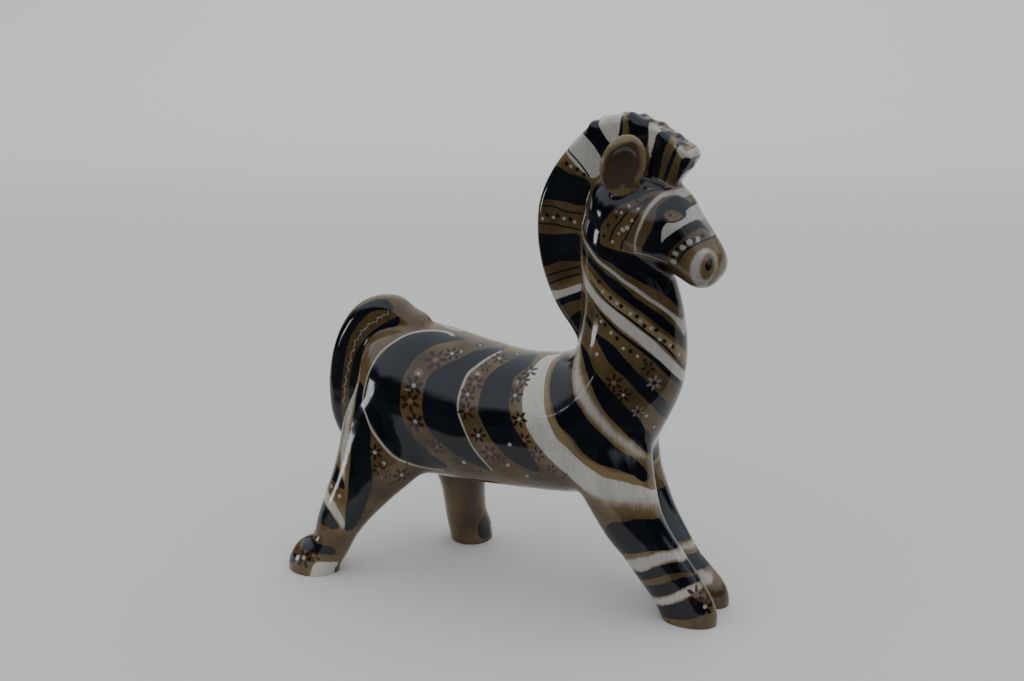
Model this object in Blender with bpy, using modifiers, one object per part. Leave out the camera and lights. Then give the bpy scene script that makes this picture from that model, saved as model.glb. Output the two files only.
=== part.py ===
"""Zebra figurine: one slip-cast, glazed ceramic animal on its four hooves. Metres, +Z up, +X forward."""

import math

import bmesh
import bpy
from mathutils import Matrix, Vector

# Driving dimensions

HEIGHT = 0.358  # ground to the top of the crest
MANE_THICKNESS = 0.018
TAIL_THICKNESS = 0.024
FOREHOOF_LENGTH = 0.043
FOREHOOF_WIDTH = 0.028
FOREHOOF_GAP = 0.0065
HINDHOOF_LENGTH = 0.042
HINDHOOF_WIDTH = 0.036
EAR_THICKNESS = 0.013
MUZZLE_WIDTH = 0.037

# The form below is drawn in millimetres on a figure 358 mm tall, and UNIT carries it to HEIGHT.

DRAWN_HEIGHT = 358.0
UNIT = HEIGHT / DRAWN_HEIGHT

# Fineness of the modelled clay

RING_SIDES = 32
STEPS_PER_STATION = 5
BODY_VOXEL = 2.2 * UNIT
DETAIL_VOXEL = 1.5 * UNIT
BODY_SMOOTHING = 10
JOINT_SMOOTHING = 90
DETAIL_SMOOTHING = 3
TRIANGLE_TARGET = 9000

# Height band where the legs leave the trunk, smoothed the most

JOINT_LOW = 55.0
JOINT_HIGH = 172.0
JOINT_FADE = 28.0

# Trunk and neck: back point, belly or chest point, both in the XZ plane, and half width

TRUNK_AND_NECK = [
    ((-144, 159), (-144, 122), 15),
    ((-136, 178), (-137, 104), 33),
    ((-121, 187), (-123, 89), 43),
    ((-100, 190.5), (-102, 78.5), 48),
    ((-73, 187), (-74, 74.5), 49.5),
    ((-45, 182), (-46, 74.5), 48.5),
    ((-18, 178.5), (-17, 75.5), 47.5),
    ((4, 180), (10, 77), 47),
    ((17, 182.5), (38, 80), 47),
    ((26, 186.5), (62, 92), 46),
    ((31, 193), (81, 111), 43),
    ((33, 201), (95, 137), 39),
    ((33.5, 212), (105.5, 162), 35),
    ((33.5, 225), (109.5, 187), 32),
    ((33, 240), (108, 212), 30),
    ((32.5, 256), (102, 237), 29),
    ((33, 276), (91, 263), 28),
    ((39, 294), (80, 286), 24),
    ((47, 305), (70, 300), 14),
]

# Head: brow point, jaw point and half width, from the nape to the muzzle

HEAD = [
    ((37, 298), (42, 272), 13),
    ((44, 312), (58, 259), 25),
    ((60, 320.5), (74, 254), 29),
    ((78, 320.5), (88, 250), 29.5),
    ((96, 315.5), (97, 252), 27),
    ((109, 305.5), (104.5, 248), 24),
    ((118, 291.5), (110, 245), 0.58 * MUZZLE_WIDTH / UNIT),
    ((127, 279.5), (115, 242), 0.53 * MUZZLE_WIDTH / UNIT),
    ((133.5, 269.5), (121, 242), 0.49 * MUZZLE_WIDTH / UNIT),
    ((136, 261), (128, 244.5), 0.38 * MUZZLE_WIDTH / UNIT),
    ((135.5, 255), (132, 249.5), 0.16 * MUZZLE_WIDTH / UNIT),
]

# Legs: centre, half length along the stride and half width across it, from hip or shoulder to sole

FORE = (FOREHOOF_LENGTH / 2 / UNIT, FOREHOOF_WIDTH / 2 / UNIT)
HIND = (HINDHOOF_LENGTH / 2 / UNIT, HINDHOOF_WIDTH / 2 / UNIT)
FORE_SIDE = (FOREHOOF_GAP + FOREHOOF_WIDTH) / 2 / UNIT  # from the middle plane to the middle of a fore hoof

LEGS = {
    "right_hind": [
        ((-97, -17, 142), 34, 21),
        ((-109, -24.5, 118), 40, 24),
        ((-118, -31, 96), 36, 23),
        ((-129, -37, 75), 27.2, 20.5),
        ((-139.5, -42, 55), 21, 18.5),
        ((-147.5, -45.5, 38), 17.3, 16.5),
        ((-153.5, -49, 21), 15, 16),
        ((-164, -51.5, 9), HIND[0] * 0.92, HIND[1] * 0.97),
        ((-166.5, -52, 2), HIND[0], HIND[1]),
        ((-166.5, -52, -5), HIND[0] * 0.9, HIND[1] * 0.9),
    ],
    "left_hind": [
        ((-98, 17, 142), 33, 21),
        ((-98, 25, 118), 33, 24),
        ((-95, 32, 96), 28, 23),
        ((-90, 38, 75), 22, 20),
        ((-87, 42.5, 55), 18.4, 18),
        ((-87, 46, 38), 16.8, 17),
        ((-87, 49.5, 21), 16.4, 16.4),
        ((-84.5, 51.5, 9), HIND[0] * 0.81, HIND[1] * 0.97),
        ((-83.5, 52, 2), HIND[0] * 0.82, HIND[1]),
        ((-83.5, 52, -5), HIND[0] * 0.74, HIND[1] * 0.9),
    ],
    "right_fore": [
        ((57, -16, 144), 28, 18),
        ((62, -20.5, 121), 32, 22),
        ((70.5, -24.5, 98), 29, 22),
        ((81, -25, 75.5), 24, 20),
        ((92.5, -22.8, 56.5), 20.6, 17),
        ((103, -20.2, 40), 20.2, 15.4),
        ((113.5, -18.3, 25), 20.2, 14.2),
        ((121.5, -FORE_SIDE, 11), FORE[0] * 0.98, FORE[1] * 0.98),
        ((124, -FORE_SIDE, 3), FORE[0], FORE[1]),
        ((124, -FORE_SIDE, -5), FORE[0] * 0.9, FORE[1] * 0.9),
    ],
    "left_fore": [
        ((52, 16, 144), 27, 18),
        ((54, 20.5, 121), 29.5, 22),
        ((60, 25, 98), 25, 22),
        ((70, 25.5, 77), 20.8, 19.5),
        ((81.5, 23, 57), 18.6, 17),
        ((93, 21, 41), 17.6, 15.2),
        ((104.5, 18.8, 25.5), 17.8, 14.2),
        ((116.5, FORE_SIDE, 11), FORE[0] * 0.96, FORE[1] * 0.98),
        ((121.5, FORE_SIDE, 3), FORE[0], FORE[1]),
        ((121.5, FORE_SIDE, -5), FORE[0] * 0.9, FORE[1] * 0.9),
    ],
}

# Mane and tail: side outlines in the XZ plane, closed inside the neck and the rump

MANE_CREST = [
    (33, 187),
    (28.5, 198),
    (14, 218),
    (4.5, 238),
    (-0.5, 257),
    (-2, 275),
    (-1, 290),
    (2.5, 302),
    (9, 315.5),
    (16.5, 326.5),
    (24, 335.5),
    (32, 344),
    (42, 351.5),
    (54, 356),
    (65, 357.5),
    (77, 356),
    (89, 350.5),
    (101, 342.5),
    (112.5, 333.5),
    (110.5, 327),
]
MANE_ROOT = [(101, 313), (96, 300), (64, 302), (48, 290), (43, 252), (43, 210)]
TAIL_OUTER = [
    (-92, 192),
    (-106, 200.5),
    (-118, 207.5),
    (-129, 208),
    (-141, 205),
    (-153, 197),
    (-162.5, 185),
    (-171, 167),
    (-176, 146),
    (-177, 125),
    (-174.5, 108),
    (-168, 94),
    (-158, 83),
]
TAIL_ROOT = [(-150, 86), (-143, 102), (-132, 120), (-120, 142), (-106, 166), (-94, 178)]

# Rounding of their rims, as shares of the thickness

MANE_RIM = 0.3
TAIL_RIM = 0.42

# Crest lobes: soft lumps pressed along the top edge of the mane

LOBE_SPACING = 8.5
LOBE_RADIUS = 6.0
LOBE_START = (24, 335)
LOBE_SINK = 0.74  # share of the radius by which a lobe lies inside the edge
LOBE_ASIDE = 0.16  # shares of the mane's thickness
LOBE_BREADTH = 0.42

# Forelock: the mane widens towards its front end and its top edge

FLARE = 0.4
FLARE_FROM_X = 72.0
FLARE_TO_X = 110.0
FLARE_FROM_Z = 308.0
FLARE_TO_Z = 336.0

# Ear: a broad leaf standing beside the mane, hollowed on its outer face

EAR_BASE = (64, 306.5)
EAR_TIP = (76, 349)
EAR_HALF_WIDTH = 15.5
EAR_SETTING = 25.5  # from the middle plane to the middle of the ear
EAR_TURN = math.radians(18)  # the hollow looks outwards and a little forwards
EAR_LEAN = math.radians(8)
EAR_HOLLOW = 0.42  # depth of the bowl as a share of the ear's thickness
BOWL_SHARE = 0.8  # of the leaf's width and height
BOWL_RADIUS = 7.0
BOWL_DROP = 2.0


# Materials


def glaze():
    material = bpy.data.materials.new("glazed_ceramic")
    material.use_nodes = True
    shader = material.node_tree.nodes["Principled BSDF"]
    shader.inputs["Base Color"].default_value = (0.105, 0.078, 0.055, 1.0)
    shader.inputs["Roughness"].default_value = 0.12
    shader.inputs["Metallic"].default_value = 0.0
    return material


# Small helpers


def flat_numbers(station):
    numbers = []
    for value in station:
        if isinstance(value, tuple):
            numbers.extend(value)
        else:
            numbers.append(value)
    return numbers


def curved(p, q, r, s, t):
    """Catmull-Rom value between q and r."""
    slope = (r - p) * t
    bend = (2 * p - 5 * q + 4 * r - s) * t**2
    twist = (3 * q - p - 3 * r + s) * t**3
    return q + 0.5 * (slope + bend + twist)


def through(stations, steps=STEPS_PER_STATION):
    """The stations with smooth in-between ones."""
    rows = [flat_numbers(station) for station in stations]
    padded = [rows[0], *rows, rows[-1]]
    smooth = []
    for i in range(1, len(padded) - 2):
        for k in range(steps):
            smooth.append([curved(*four, k / steps) for four in zip(*padded[i - 1 : i + 3])])
    smooth.append(rows[-1])
    return smooth


def ramp(value, start, end):
    """0 at start, 1 at end, eased in between."""
    t = min(max((value - start) / (end - start), 0.0), 1.0)
    return t * t * (3 - 2 * t)


def ring(centre, across, outwards):
    angles = [2 * math.pi * k / RING_SIDES for k in range(RING_SIDES)]
    return [centre + math.cos(angle) * across + math.sin(angle) * outwards for angle in angles]


def loft(rings):
    """A closed mesh through rings of points, with flat ends."""
    bm = bmesh.new()
    loops = [[bm.verts.new(point * UNIT) for point in points] for points in rings]
    for lower, upper in zip(loops, loops[1:]):
        for k in range(RING_SIDES):
            following = (k + 1) % RING_SIDES
            bm.faces.new((lower[k], lower[following], upper[following], upper[k]))
    bm.faces.new(loops[0])
    bm.faces.new(loops[-1])
    bmesh.ops.recalc_face_normals(bm, faces=bm.faces)
    return bm


def sectioned(stations):
    """The trunk or the head: oval sections that stand between an upper and a lower profile point."""
    rings = []
    for upper_x, upper_z, lower_x, lower_z, half_width in through(stations):
        upper = Vector((upper_x, 0, upper_z))
        lower = Vector((lower_x, 0, lower_z))
        rings.append(ring((upper + lower) / 2, (upper - lower) / 2, Vector((0, half_width, 0))))
    return loft(rings)


def limb(stations):
    """A leg: oval sections square to the line through their centres."""
    rows = through(stations)
    centres = [Vector(row[:3]) for row in rows]
    rings = []
    for i, row in enumerate(rows):
        along = (centres[min(i + 1, len(rows) - 1)] - centres[max(i - 1, 0)]).normalized()
        sideways = (Vector((0, 1, 0)) - along * along.y).normalized()
        rings.append(ring(centres[i], along.cross(sideways) * row[3], sideways * row[4]))
    return loft(rings)


def slab(outline, thickness, rounding):
    """A flat form with a rounded rim: a closed side outline given a thickness about the middle plane."""
    curve = bpy.data.curves.new("outline", "CURVE")
    curve.dimensions = "2D"
    curve.fill_mode = "BOTH"
    curve.resolution_u = 6
    curve.extrude = thickness / 2 - rounding
    curve.bevel_depth = rounding
    curve.bevel_resolution = 3
    curve.offset = -rounding
    spline = curve.splines.new("BEZIER")
    spline.bezier_points.add(len(outline) - 1)
    spline.use_cyclic_u = True
    for point, (x, z) in zip(spline.bezier_points, outline):
        point.co = (x * UNIT, z * UNIT, 0)
        point.handle_left_type = "AUTO"
        point.handle_right_type = "AUTO"
    outlined = bpy.data.objects.new("outline", curve)
    bpy.context.scene.collection.objects.link(outlined)
    outlined.matrix_world = Matrix.Rotation(math.pi / 2, 4, "X")
    bpy.context.view_layer.update()
    graph = bpy.context.evaluated_depsgraph_get()
    mesh = bpy.data.meshes.new_from_object(outlined.evaluated_get(graph))
    mesh.transform(outlined.matrix_world)
    bpy.data.objects.remove(outlined)
    bm = bmesh.new()
    bm.from_mesh(mesh)
    bmesh.ops.remove_doubles(bm, verts=bm.verts, dist=0.05 * UNIT)
    bmesh.ops.recalc_face_normals(bm, faces=bm.faces)
    return bm


def ellipsoid(centre, radii, turn):
    bm = bmesh.new()
    size = Matrix.Diagonal((*[radius * UNIT for radius in radii], 1))
    placed = Matrix.Translation(Vector(centre) * UNIT) @ turn @ size
    bmesh.ops.create_uvsphere(bm, u_segments=24, v_segments=16, radius=1.0, matrix=placed)
    return bm


def as_object(name, bm, collection):
    mesh = bpy.data.meshes.new(name)
    bm.to_mesh(mesh)
    bm.free()
    obj = bpy.data.objects.new(name, mesh)
    collection.objects.link(obj)
    return obj


def taken_back(obj):
    """The object's mesh as an editable one; the object is removed."""
    bm = bmesh.new()
    bm.from_mesh(obj.data)
    bpy.data.objects.remove(obj)
    return bm


def joined(name, forms, collection):
    """Several closed forms pressed into each other, still separate shells."""
    whole = bmesh.new()
    for bm in forms:
        piece = bpy.data.meshes.new("piece")
        bm.to_mesh(piece)
        bm.free()
        whole.from_mesh(piece)
        bpy.data.meshes.remove(piece)
    return as_object(name, whole, collection)


def settled(obj):
    """Replaces the object's mesh by what its modifiers make of it."""
    bpy.context.view_layer.update()
    graph = bpy.context.evaluated_depsgraph_get()
    mesh = bpy.data.meshes.new_from_object(obj.evaluated_get(graph))
    obj.modifiers.clear()
    obj.data = mesh
    return obj


def blended(obj, voxel, smoothing):
    """Fuses overlapping shells into one skin and softens where they meet."""
    fuse = obj.modifiers.new("fuse", "REMESH")
    fuse.mode = "VOXEL"
    fuse.voxel_size = voxel
    soften = obj.modifiers.new("soften", "SMOOTH")
    soften.factor = 0.5
    soften.iterations = smoothing
    return settled(obj)


def joints_softened(obj):
    """Smooths the tops of the legs into the trunk, fading out above and below."""
    group = obj.vertex_groups.new(name="joints")
    for vert in obj.data.vertices:
        height = vert.co.z / UNIT
        weight = ramp(height, JOINT_LOW, JOINT_LOW + JOINT_FADE)
        weight *= 1 - ramp(height, JOINT_HIGH - JOINT_FADE, JOINT_HIGH)
        group.add([vert.index], weight, "REPLACE")
    soften = obj.modifiers.new("joints", "SMOOTH")
    soften.factor = 0.5
    soften.iterations = JOINT_SMOOTHING
    soften.vertex_group = group.name
    return settled(obj)


# The pieces of the form


def body(collection):
    """Trunk, neck, head and legs as one skin."""
    limbs = [limb(stations) for stations in LEGS.values()]
    skin = joined("body", [sectioned(TRUNK_AND_NECK), sectioned(HEAD), *limbs], collection)
    return joints_softened(blended(skin, BODY_VOXEL, BODY_SMOOTHING))


def mane():
    bm = slab(MANE_CREST + MANE_ROOT, MANE_THICKNESS, MANE_RIM * MANE_THICKNESS)
    for vert in bm.verts:
        forward = ramp(vert.co.x / UNIT, FLARE_FROM_X, FLARE_TO_X)
        upward = ramp(vert.co.z / UNIT, FLARE_FROM_Z, FLARE_TO_Z)
        vert.co.y *= 1 + FLARE * forward * upward
    return bm


def tail():
    return slab(TAIL_OUTER + TAIL_ROOT, TAIL_THICKNESS, TAIL_RIM * TAIL_THICKNESS)


def crest_lobes():
    """Soft lumps along the top of the mane, left and right by turns."""
    crest = [Vector((x, 0, z)) for x, z in through(MANE_CREST, 8)]
    start = Vector((LOBE_START[0], 0, LOBE_START[1]))
    first = min(range(len(crest)), key=lambda i: (crest[i] - start).length)
    travelled = 0.0
    lobes = []
    for before, after in zip(crest[first:], crest[first + 1 :]):
        travelled += (after - before).length
        if travelled < LOBE_SPACING:
            continue
        travelled -= LOBE_SPACING
        inwards = Vector((0, 1, 0)).cross((after - before).normalized())
        side = 1 if len(lobes) % 2 else -1
        aside = side * LOBE_ASIDE * MANE_THICKNESS / UNIT
        centre = after + inwards * LOBE_SINK * LOBE_RADIUS + Vector((0, aside, 0))
        radii = (LOBE_RADIUS, LOBE_BREADTH * MANE_THICKNESS / UNIT, LOBE_RADIUS)
        lobes.append(ellipsoid(centre, radii, Matrix.Identity(4)))
    return lobes


def ear(side, collection):
    """One ear: a flattened leaf with a shallow bowl cut from its outer face. side is -1 right, 1 left."""
    rise = Vector((EAR_TIP[0] - EAR_BASE[0], 0, EAR_TIP[1] - EAR_BASE[1]))
    middle = Vector((EAR_BASE[0], side * EAR_SETTING, EAR_BASE[1])) + rise / 2
    turn = (
        Matrix.Rotation(-side * EAR_TURN, 4, "Z")
        @ Matrix.Rotation(-side * EAR_LEAN, 4, "X")
        @ Matrix.Rotation(math.atan2(rise.x, rise.z), 4, "Y")
    )
    thickness = EAR_THICKNESS / UNIT
    half_height = rise.length / 2
    leaf_radii = (EAR_HALF_WIDTH, thickness / 2, half_height)
    leaf = as_object("leaf", ellipsoid(middle, leaf_radii, turn), collection)
    outwards = turn.to_3x3() @ Vector((0, side, 0))
    bowl_at = middle + outwards * (thickness * (0.5 - EAR_HOLLOW) + BOWL_RADIUS)
    bowl_at -= rise.normalized() * BOWL_DROP
    bowl_radii = (EAR_HALF_WIDTH * BOWL_SHARE, BOWL_RADIUS, half_height * BOWL_SHARE)
    bowl = as_object("bowl", ellipsoid(bowl_at, bowl_radii, turn), collection)
    cut = leaf.modifiers.new("hollow", "BOOLEAN")
    cut.operation = "DIFFERENCE"
    cut.object = bowl
    settled(leaf)
    bpy.data.objects.remove(bowl)
    return taken_back(leaf)


def figure(collection):
    """The whole animal as one closed skin, still reaching a little below the ground."""
    skin = taken_back(body(collection))
    ears = [ear(side, collection) for side in (-1, 1)]
    zebra = joined("zebra", [skin, mane(), tail(), *ears, *crest_lobes()], collection)
    return blended(zebra, DETAIL_VOXEL, DETAIL_SMOOTHING)


def thinned(obj):
    """Fewer, larger triangles where the skin is nearly flat."""
    thin = obj.modifiers.new("thin", "DECIMATE")
    thin.ratio = min(1.0, TRIANGLE_TARGET / (2 * len(obj.data.polygons)))
    return settled(obj)


def stood(obj):
    """Cuts the soles flat on the ground and puts the middle of the figure over the origin."""
    bm = bmesh.new()
    bm.from_mesh(obj.data)
    everything = [*bm.verts, *bm.edges, *bm.faces]
    bmesh.ops.bisect_plane(bm, geom=everything, plane_co=(0, 0, 0), plane_no=(0, 0, 1), clear_inner=True)
    bmesh.ops.holes_fill(bm, edges=[edge for edge in bm.edges if edge.is_boundary], sides=0)
    bmesh.ops.triangulate(bm, faces=bm.faces)
    lengths = [vert.co.x for vert in bm.verts]
    widths = [vert.co.y for vert in bm.verts]
    middle = Vector(((min(lengths) + max(lengths)) / 2, (min(widths) + max(widths)) / 2, 0))
    bmesh.ops.translate(bm, verts=bm.verts, vec=-middle)
    bm.to_mesh(obj.data)
    bm.free()
    return obj


def main():
    for obj in list(bpy.data.objects):
        bpy.data.objects.remove(obj)
    collection = bpy.data.collections.new("zebra_figurine")
    bpy.context.scene.collection.children.link(collection)
    zebra = stood(thinned(figure(collection)))
    zebra.data.materials.append(glaze())
    zebra.data.shade_smooth()


main()
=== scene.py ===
"""Painted faience zebra: one slip-cast animal under a clear glaze, on a pale floor."""

import math

import bmesh
import bpy
import numpy as np
from mathutils import Matrix, Vector
from mathutils.bvhtree import BVHTree


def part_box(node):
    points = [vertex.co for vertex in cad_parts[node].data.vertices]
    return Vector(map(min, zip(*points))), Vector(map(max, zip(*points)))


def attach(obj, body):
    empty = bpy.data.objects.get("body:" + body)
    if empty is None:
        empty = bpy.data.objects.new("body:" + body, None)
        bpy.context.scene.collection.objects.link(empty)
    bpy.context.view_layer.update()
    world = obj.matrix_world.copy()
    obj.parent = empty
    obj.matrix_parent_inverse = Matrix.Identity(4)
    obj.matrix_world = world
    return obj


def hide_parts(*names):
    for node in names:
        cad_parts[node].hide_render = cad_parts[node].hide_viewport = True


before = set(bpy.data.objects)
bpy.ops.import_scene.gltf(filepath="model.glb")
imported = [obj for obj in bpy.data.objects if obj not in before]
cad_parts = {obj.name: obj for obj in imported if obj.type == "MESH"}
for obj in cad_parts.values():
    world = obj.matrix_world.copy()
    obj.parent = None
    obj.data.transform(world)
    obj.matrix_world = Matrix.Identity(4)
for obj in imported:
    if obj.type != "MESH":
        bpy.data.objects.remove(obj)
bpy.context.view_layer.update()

# Cast body
# Trunk, neck, head and four legs of one hollow slip casting. The clay was modelled with soft joins,
# so every leg runs into the trunk in a long smooth hollow. All form below is drawn in millimetres.

RING_SIDES = 40
RINGS_BETWEEN = 6  # from one station to the next
BODY_VOXEL = 2.0
BODY_SOFTENING = 12
LEG_SOFTENING = 110
LEG_JOIN = (55.0, 83.0, 144.0, 172.0)  # heights where the softening starts, is full, fades and ends

# back point, belly or breast point, half width
TRUNK = [
    ((-144, 159), (-144, 122), 15),
    ((-136, 178), (-137, 104), 33),
    ((-121, 187), (-123, 89), 43),
    ((-100, 190.5), (-102, 78.5), 48),
    ((-73, 187), (-74, 74.5), 49.5),
    ((-45, 182), (-46, 74.5), 48.5),
    ((-18, 178.5), (-17, 75.5), 47.5),
    ((4, 180), (10, 77), 47),
    ((17, 182.5), (38, 80), 47),
    ((26, 186.5), (62, 92), 46),
    ((31, 193), (81, 111), 43),
    ((33, 201), (95, 137), 39),
    ((33.5, 212), (105.5, 162), 35),
    ((33.5, 225), (109.5, 187), 32),
    ((33, 240), (108, 212), 30),
    ((32.5, 256), (102, 237), 29),
    ((33, 276), (91, 263), 28),
    ((39, 294), (80, 286), 24),
    ((47, 305), (70, 300), 14),
]

# brow point, jaw point, half width
HEAD = [
    ((37, 298), (42, 272), 13),
    ((44, 312), (58, 259), 25),
    ((60, 320.5), (74, 254), 29),
    ((78, 320.5), (88, 250), 29.5),
    ((96, 315.5), (97, 252), 27),
    ((109, 305.5), (104.5, 248), 24),
    ((118, 291.5), (110, 245), 21.5),
    ((127, 279.5), (115, 242), 19.6),
    ((133.5, 269.5), (121, 242), 18.1),
    ((136, 261), (128, 244.5), 14.1),
    ((135.5, 255), (132, 249.5), 5.9),
]

# centre of the section, half length along the stride, half width across it
RIGHT_HIND = [
    ((-97, -17, 142), 34, 21),
    ((-109, -24.5, 118), 40, 24),
    ((-118, -31, 96), 36, 23),
    ((-129, -37, 75), 27.2, 20.5),
    ((-139.5, -42, 55), 21, 18.5),
    ((-147.5, -45.5, 38), 17.3, 16.5),
    ((-153.5, -49, 21), 15, 16),
    ((-164, -51.5, 9), 19.4, 17.5),
    ((-166.5, -52, 2), 21, 18),
    ((-166.5, -52, -5), 18.9, 16.2),
]
LEFT_HIND = [
    ((-98, 17, 142), 33, 21),
    ((-98, 25, 118), 33, 24),
    ((-95, 32, 96), 28, 23),
    ((-90, 38, 75), 22, 20),
    ((-87, 42.5, 55), 18.4, 18),
    ((-87, 46, 38), 16.8, 17),
    ((-87, 49.5, 21), 16.4, 16.4),
    ((-84.5, 51.5, 9), 17, 17.5),
    ((-83.5, 52, 2), 17.2, 18),
    ((-83.5, 52, -5), 15.5, 16.2),
]
RIGHT_FORE = [
    ((57, -16, 144), 28, 18),
    ((62, -20.5, 121), 32, 22),
    ((70.5, -24.5, 98), 29, 22),
    ((81, -25, 75.5), 24, 20),
    ((92.5, -22.8, 56.5), 20.6, 17),
    ((103, -20.2, 40), 20.2, 15.4),
    ((113.5, -18.3, 25), 20.2, 14.2),
    ((121.5, -17.25, 11), 21.1, 13.7),
    ((124, -17.25, 3), 21.5, 14),
    ((124, -17.25, -5), 19.4, 12.6),
]
LEFT_FORE = [
    ((52, 16, 144), 27, 18),
    ((54, 20.5, 121), 29.5, 22),
    ((60, 25, 98), 25, 22),
    ((70, 25.5, 77), 20.8, 19.5),
    ((81.5, 23, 57), 18.6, 17),
    ((93, 21, 41), 17.6, 15.2),
    ((104.5, 18.8, 25.5), 17.8, 14.2),
    ((116.5, 17.25, 11), 20.6, 13.7),
    ((121.5, 17.25, 3), 21.5, 14),
    ((121.5, 17.25, -5), 19.4, 12.6),
]


def smooth_rows(rows, steps, closed=False):
    """Rows of numbers with Catmull-Rom rows in between."""
    rows = np.array(rows, float)
    if closed:
        padded = np.concatenate([rows[-1:], rows, rows[:2]])
    else:
        padded = np.concatenate([rows[:1], rows, rows[-1:]])
    between = []
    for p, q, r, s in zip(padded, padded[1:], padded[2:], padded[3:]):
        for t in np.arange(steps) / steps:
            bend = (2 * p - 5 * q + 4 * r - s) * t**2 + (3 * q - p - 3 * r + s) * t**3
            between.append(q + 0.5 * ((r - p) * t + bend))
    if not closed:
        between.append(rows[-1])
    return np.array(between)


def ramp(value, start, end):
    """0 at start, 1 at end, eased in between."""
    t = np.clip((value - start) / (end - start), 0, 1)
    return t * t * (3 - 2 * t)


def oval(centre, across, outwards):
    """A ring of points round a centre, between two half axes."""
    turns = [2 * math.pi * k / RING_SIDES for k in range(RING_SIDES)]
    return [centre + math.cos(turn) * across + math.sin(turn) * outwards for turn in turns]


def lofted(rings):
    """A closed clay form through rings of points."""
    bm = bmesh.new()
    loops = [[bm.verts.new(point) for point in ring] for ring in rings]
    for lower, upper in zip(loops, loops[1:]):
        for k in range(RING_SIDES):
            following = (k + 1) % RING_SIDES
            bm.faces.new((lower[k], lower[following], upper[following], upper[k]))
    bm.faces.new(loops[0])
    bm.faces.new(loops[-1])
    bmesh.ops.recalc_face_normals(bm, faces=bm.faces)
    return bm


def profiled(stations):
    """Trunk or head: ovals between an upper and a lower profile."""
    rings = []
    rows = smooth_rows([(*u, *l, w) for u, l, w in stations], RINGS_BETWEEN)
    for upper_x, upper_z, lower_x, lower_z, half_width in rows:
        upper = Vector((upper_x, 0, upper_z))
        lower = Vector((lower_x, 0, lower_z))
        rings.append(oval((upper + lower) / 2, (upper - lower) / 2, Vector((0, half_width, 0))))
    return lofted(rings)


def leg(stations):
    """Ovals square to the line through the leg."""
    rows = smooth_rows([(*c, l, w) for c, l, w in stations], RINGS_BETWEEN)
    centres = [Vector(row[:3]) for row in rows]
    rings = []
    for i, row in enumerate(rows):
        along = (centres[min(i + 1, len(rows) - 1)] - centres[max(i - 1, 0)]).normalized()
        sideways = (Vector((0, 1, 0)) - along * along.y).normalized()
        rings.append(oval(centres[i], along.cross(sideways) * row[3], sideways * row[4]))
    return lofted(rings)


def clay(name, forms):
    """Closed forms pressed into each other, as one object of separate shells."""
    whole = bmesh.new()
    for form in forms:
        shell = bpy.data.meshes.new("shell")
        form.to_mesh(shell)
        form.free()
        whole.from_mesh(shell)
        bpy.data.meshes.remove(shell)
    mesh = bpy.data.meshes.new(name)
    whole.to_mesh(mesh)
    whole.free()
    obj = bpy.data.objects.new(name, mesh)
    bpy.context.scene.collection.objects.link(obj)
    return obj


def fixed(obj):
    """The same form with its modifiers worked into the clay."""
    bpy.context.view_layer.update()
    graph = bpy.context.evaluated_depsgraph_get()
    mesh = bpy.data.meshes.new_from_object(obj.evaluated_get(graph))
    obj.modifiers.clear()
    obj.data = mesh
    return obj


def pressed_together(obj, voxel, softening):
    """One skin over all the shells, softened where they meet."""
    join = obj.modifiers.new("join", "REMESH")
    join.mode = "VOXEL"
    join.voxel_size = voxel
    soften = obj.modifiers.new("soften", "SMOOTH")
    soften.factor = 0.5
    soften.iterations = softening
    return fixed(obj)


def read(items, field, kind, width=1):
    """One property of every corner, face or vertex of a mesh."""
    numbers = np.empty(len(items) * width, kind)
    items.foreach_get(field, numbers)
    return numbers if width == 1 else numbers.reshape(-1, width).astype(float)


def surface_tree(obj):
    """The surface of a form, kept to tell later which form a point of the glaze lies on."""
    bm = bmesh.new()
    bm.from_mesh(obj.data)
    tree = BVHTree.FromBMesh(bm)
    bm.free()
    return tree


legs = [leg(stations) for stations in (RIGHT_HIND, LEFT_HIND, RIGHT_FORE, LEFT_FORE)]
body = pressed_together(clay("body", [profiled(TRUNK), profiled(HEAD), *legs]), BODY_VOXEL, BODY_SOFTENING)
joins = body.vertex_groups.new(name="joins")
for index, height in enumerate(read(body.data.vertices, "co", np.float32, 3)[:, 2]):
    share = ramp(height, LEG_JOIN[0], LEG_JOIN[1]) * (1 - ramp(height, LEG_JOIN[2], LEG_JOIN[3]))
    joins.add([index], float(share), "REPLACE")
melt = body.modifiers.new("melt", "SMOOTH")
melt.factor = 0.5
melt.iterations = LEG_SOFTENING
melt.vertex_group = "joins"
finer = body.modifiers.new("finer", "SUBSURF")
finer.levels = 1
finer.render_levels = 1
fixed(body)

# Mane
# A thick upright comb of clay set on the neck before firing, rounded along its rim
# and widening into a forelock over the brow.

MANE_THICKNESS = 18.0
MANE_ROUNDING = 0.3  # of the thickness
MANE_RIM = [(33, 187), (28.5, 198), (14, 218), (4.5, 238), (-0.5, 257), (-2, 275), (-1, 290), (2.5, 302),
    (9, 315.5), (16.5, 326.5), (24, 335.5), (32, 344), (42, 351.5), (54, 356), (65, 357.5), (77, 356),
    (89, 350.5), (101, 342.5), (112.5, 333.5), (110.5, 327)]
MANE_FOOT = [(101, 313), (96, 300), (64, 302), (48, 290), (43, 252), (43, 210)]
FORELOCK_LENGTH = (72, 110)  # from where the mane starts to widen to where it is full, and so for the height
FORELOCK_HEIGHT = (308, 336)
FORELOCK_SPREAD = 0.4
FORELOCK_SQUARING = 0.9  # how far its round corners are pressed out to an edge


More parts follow.
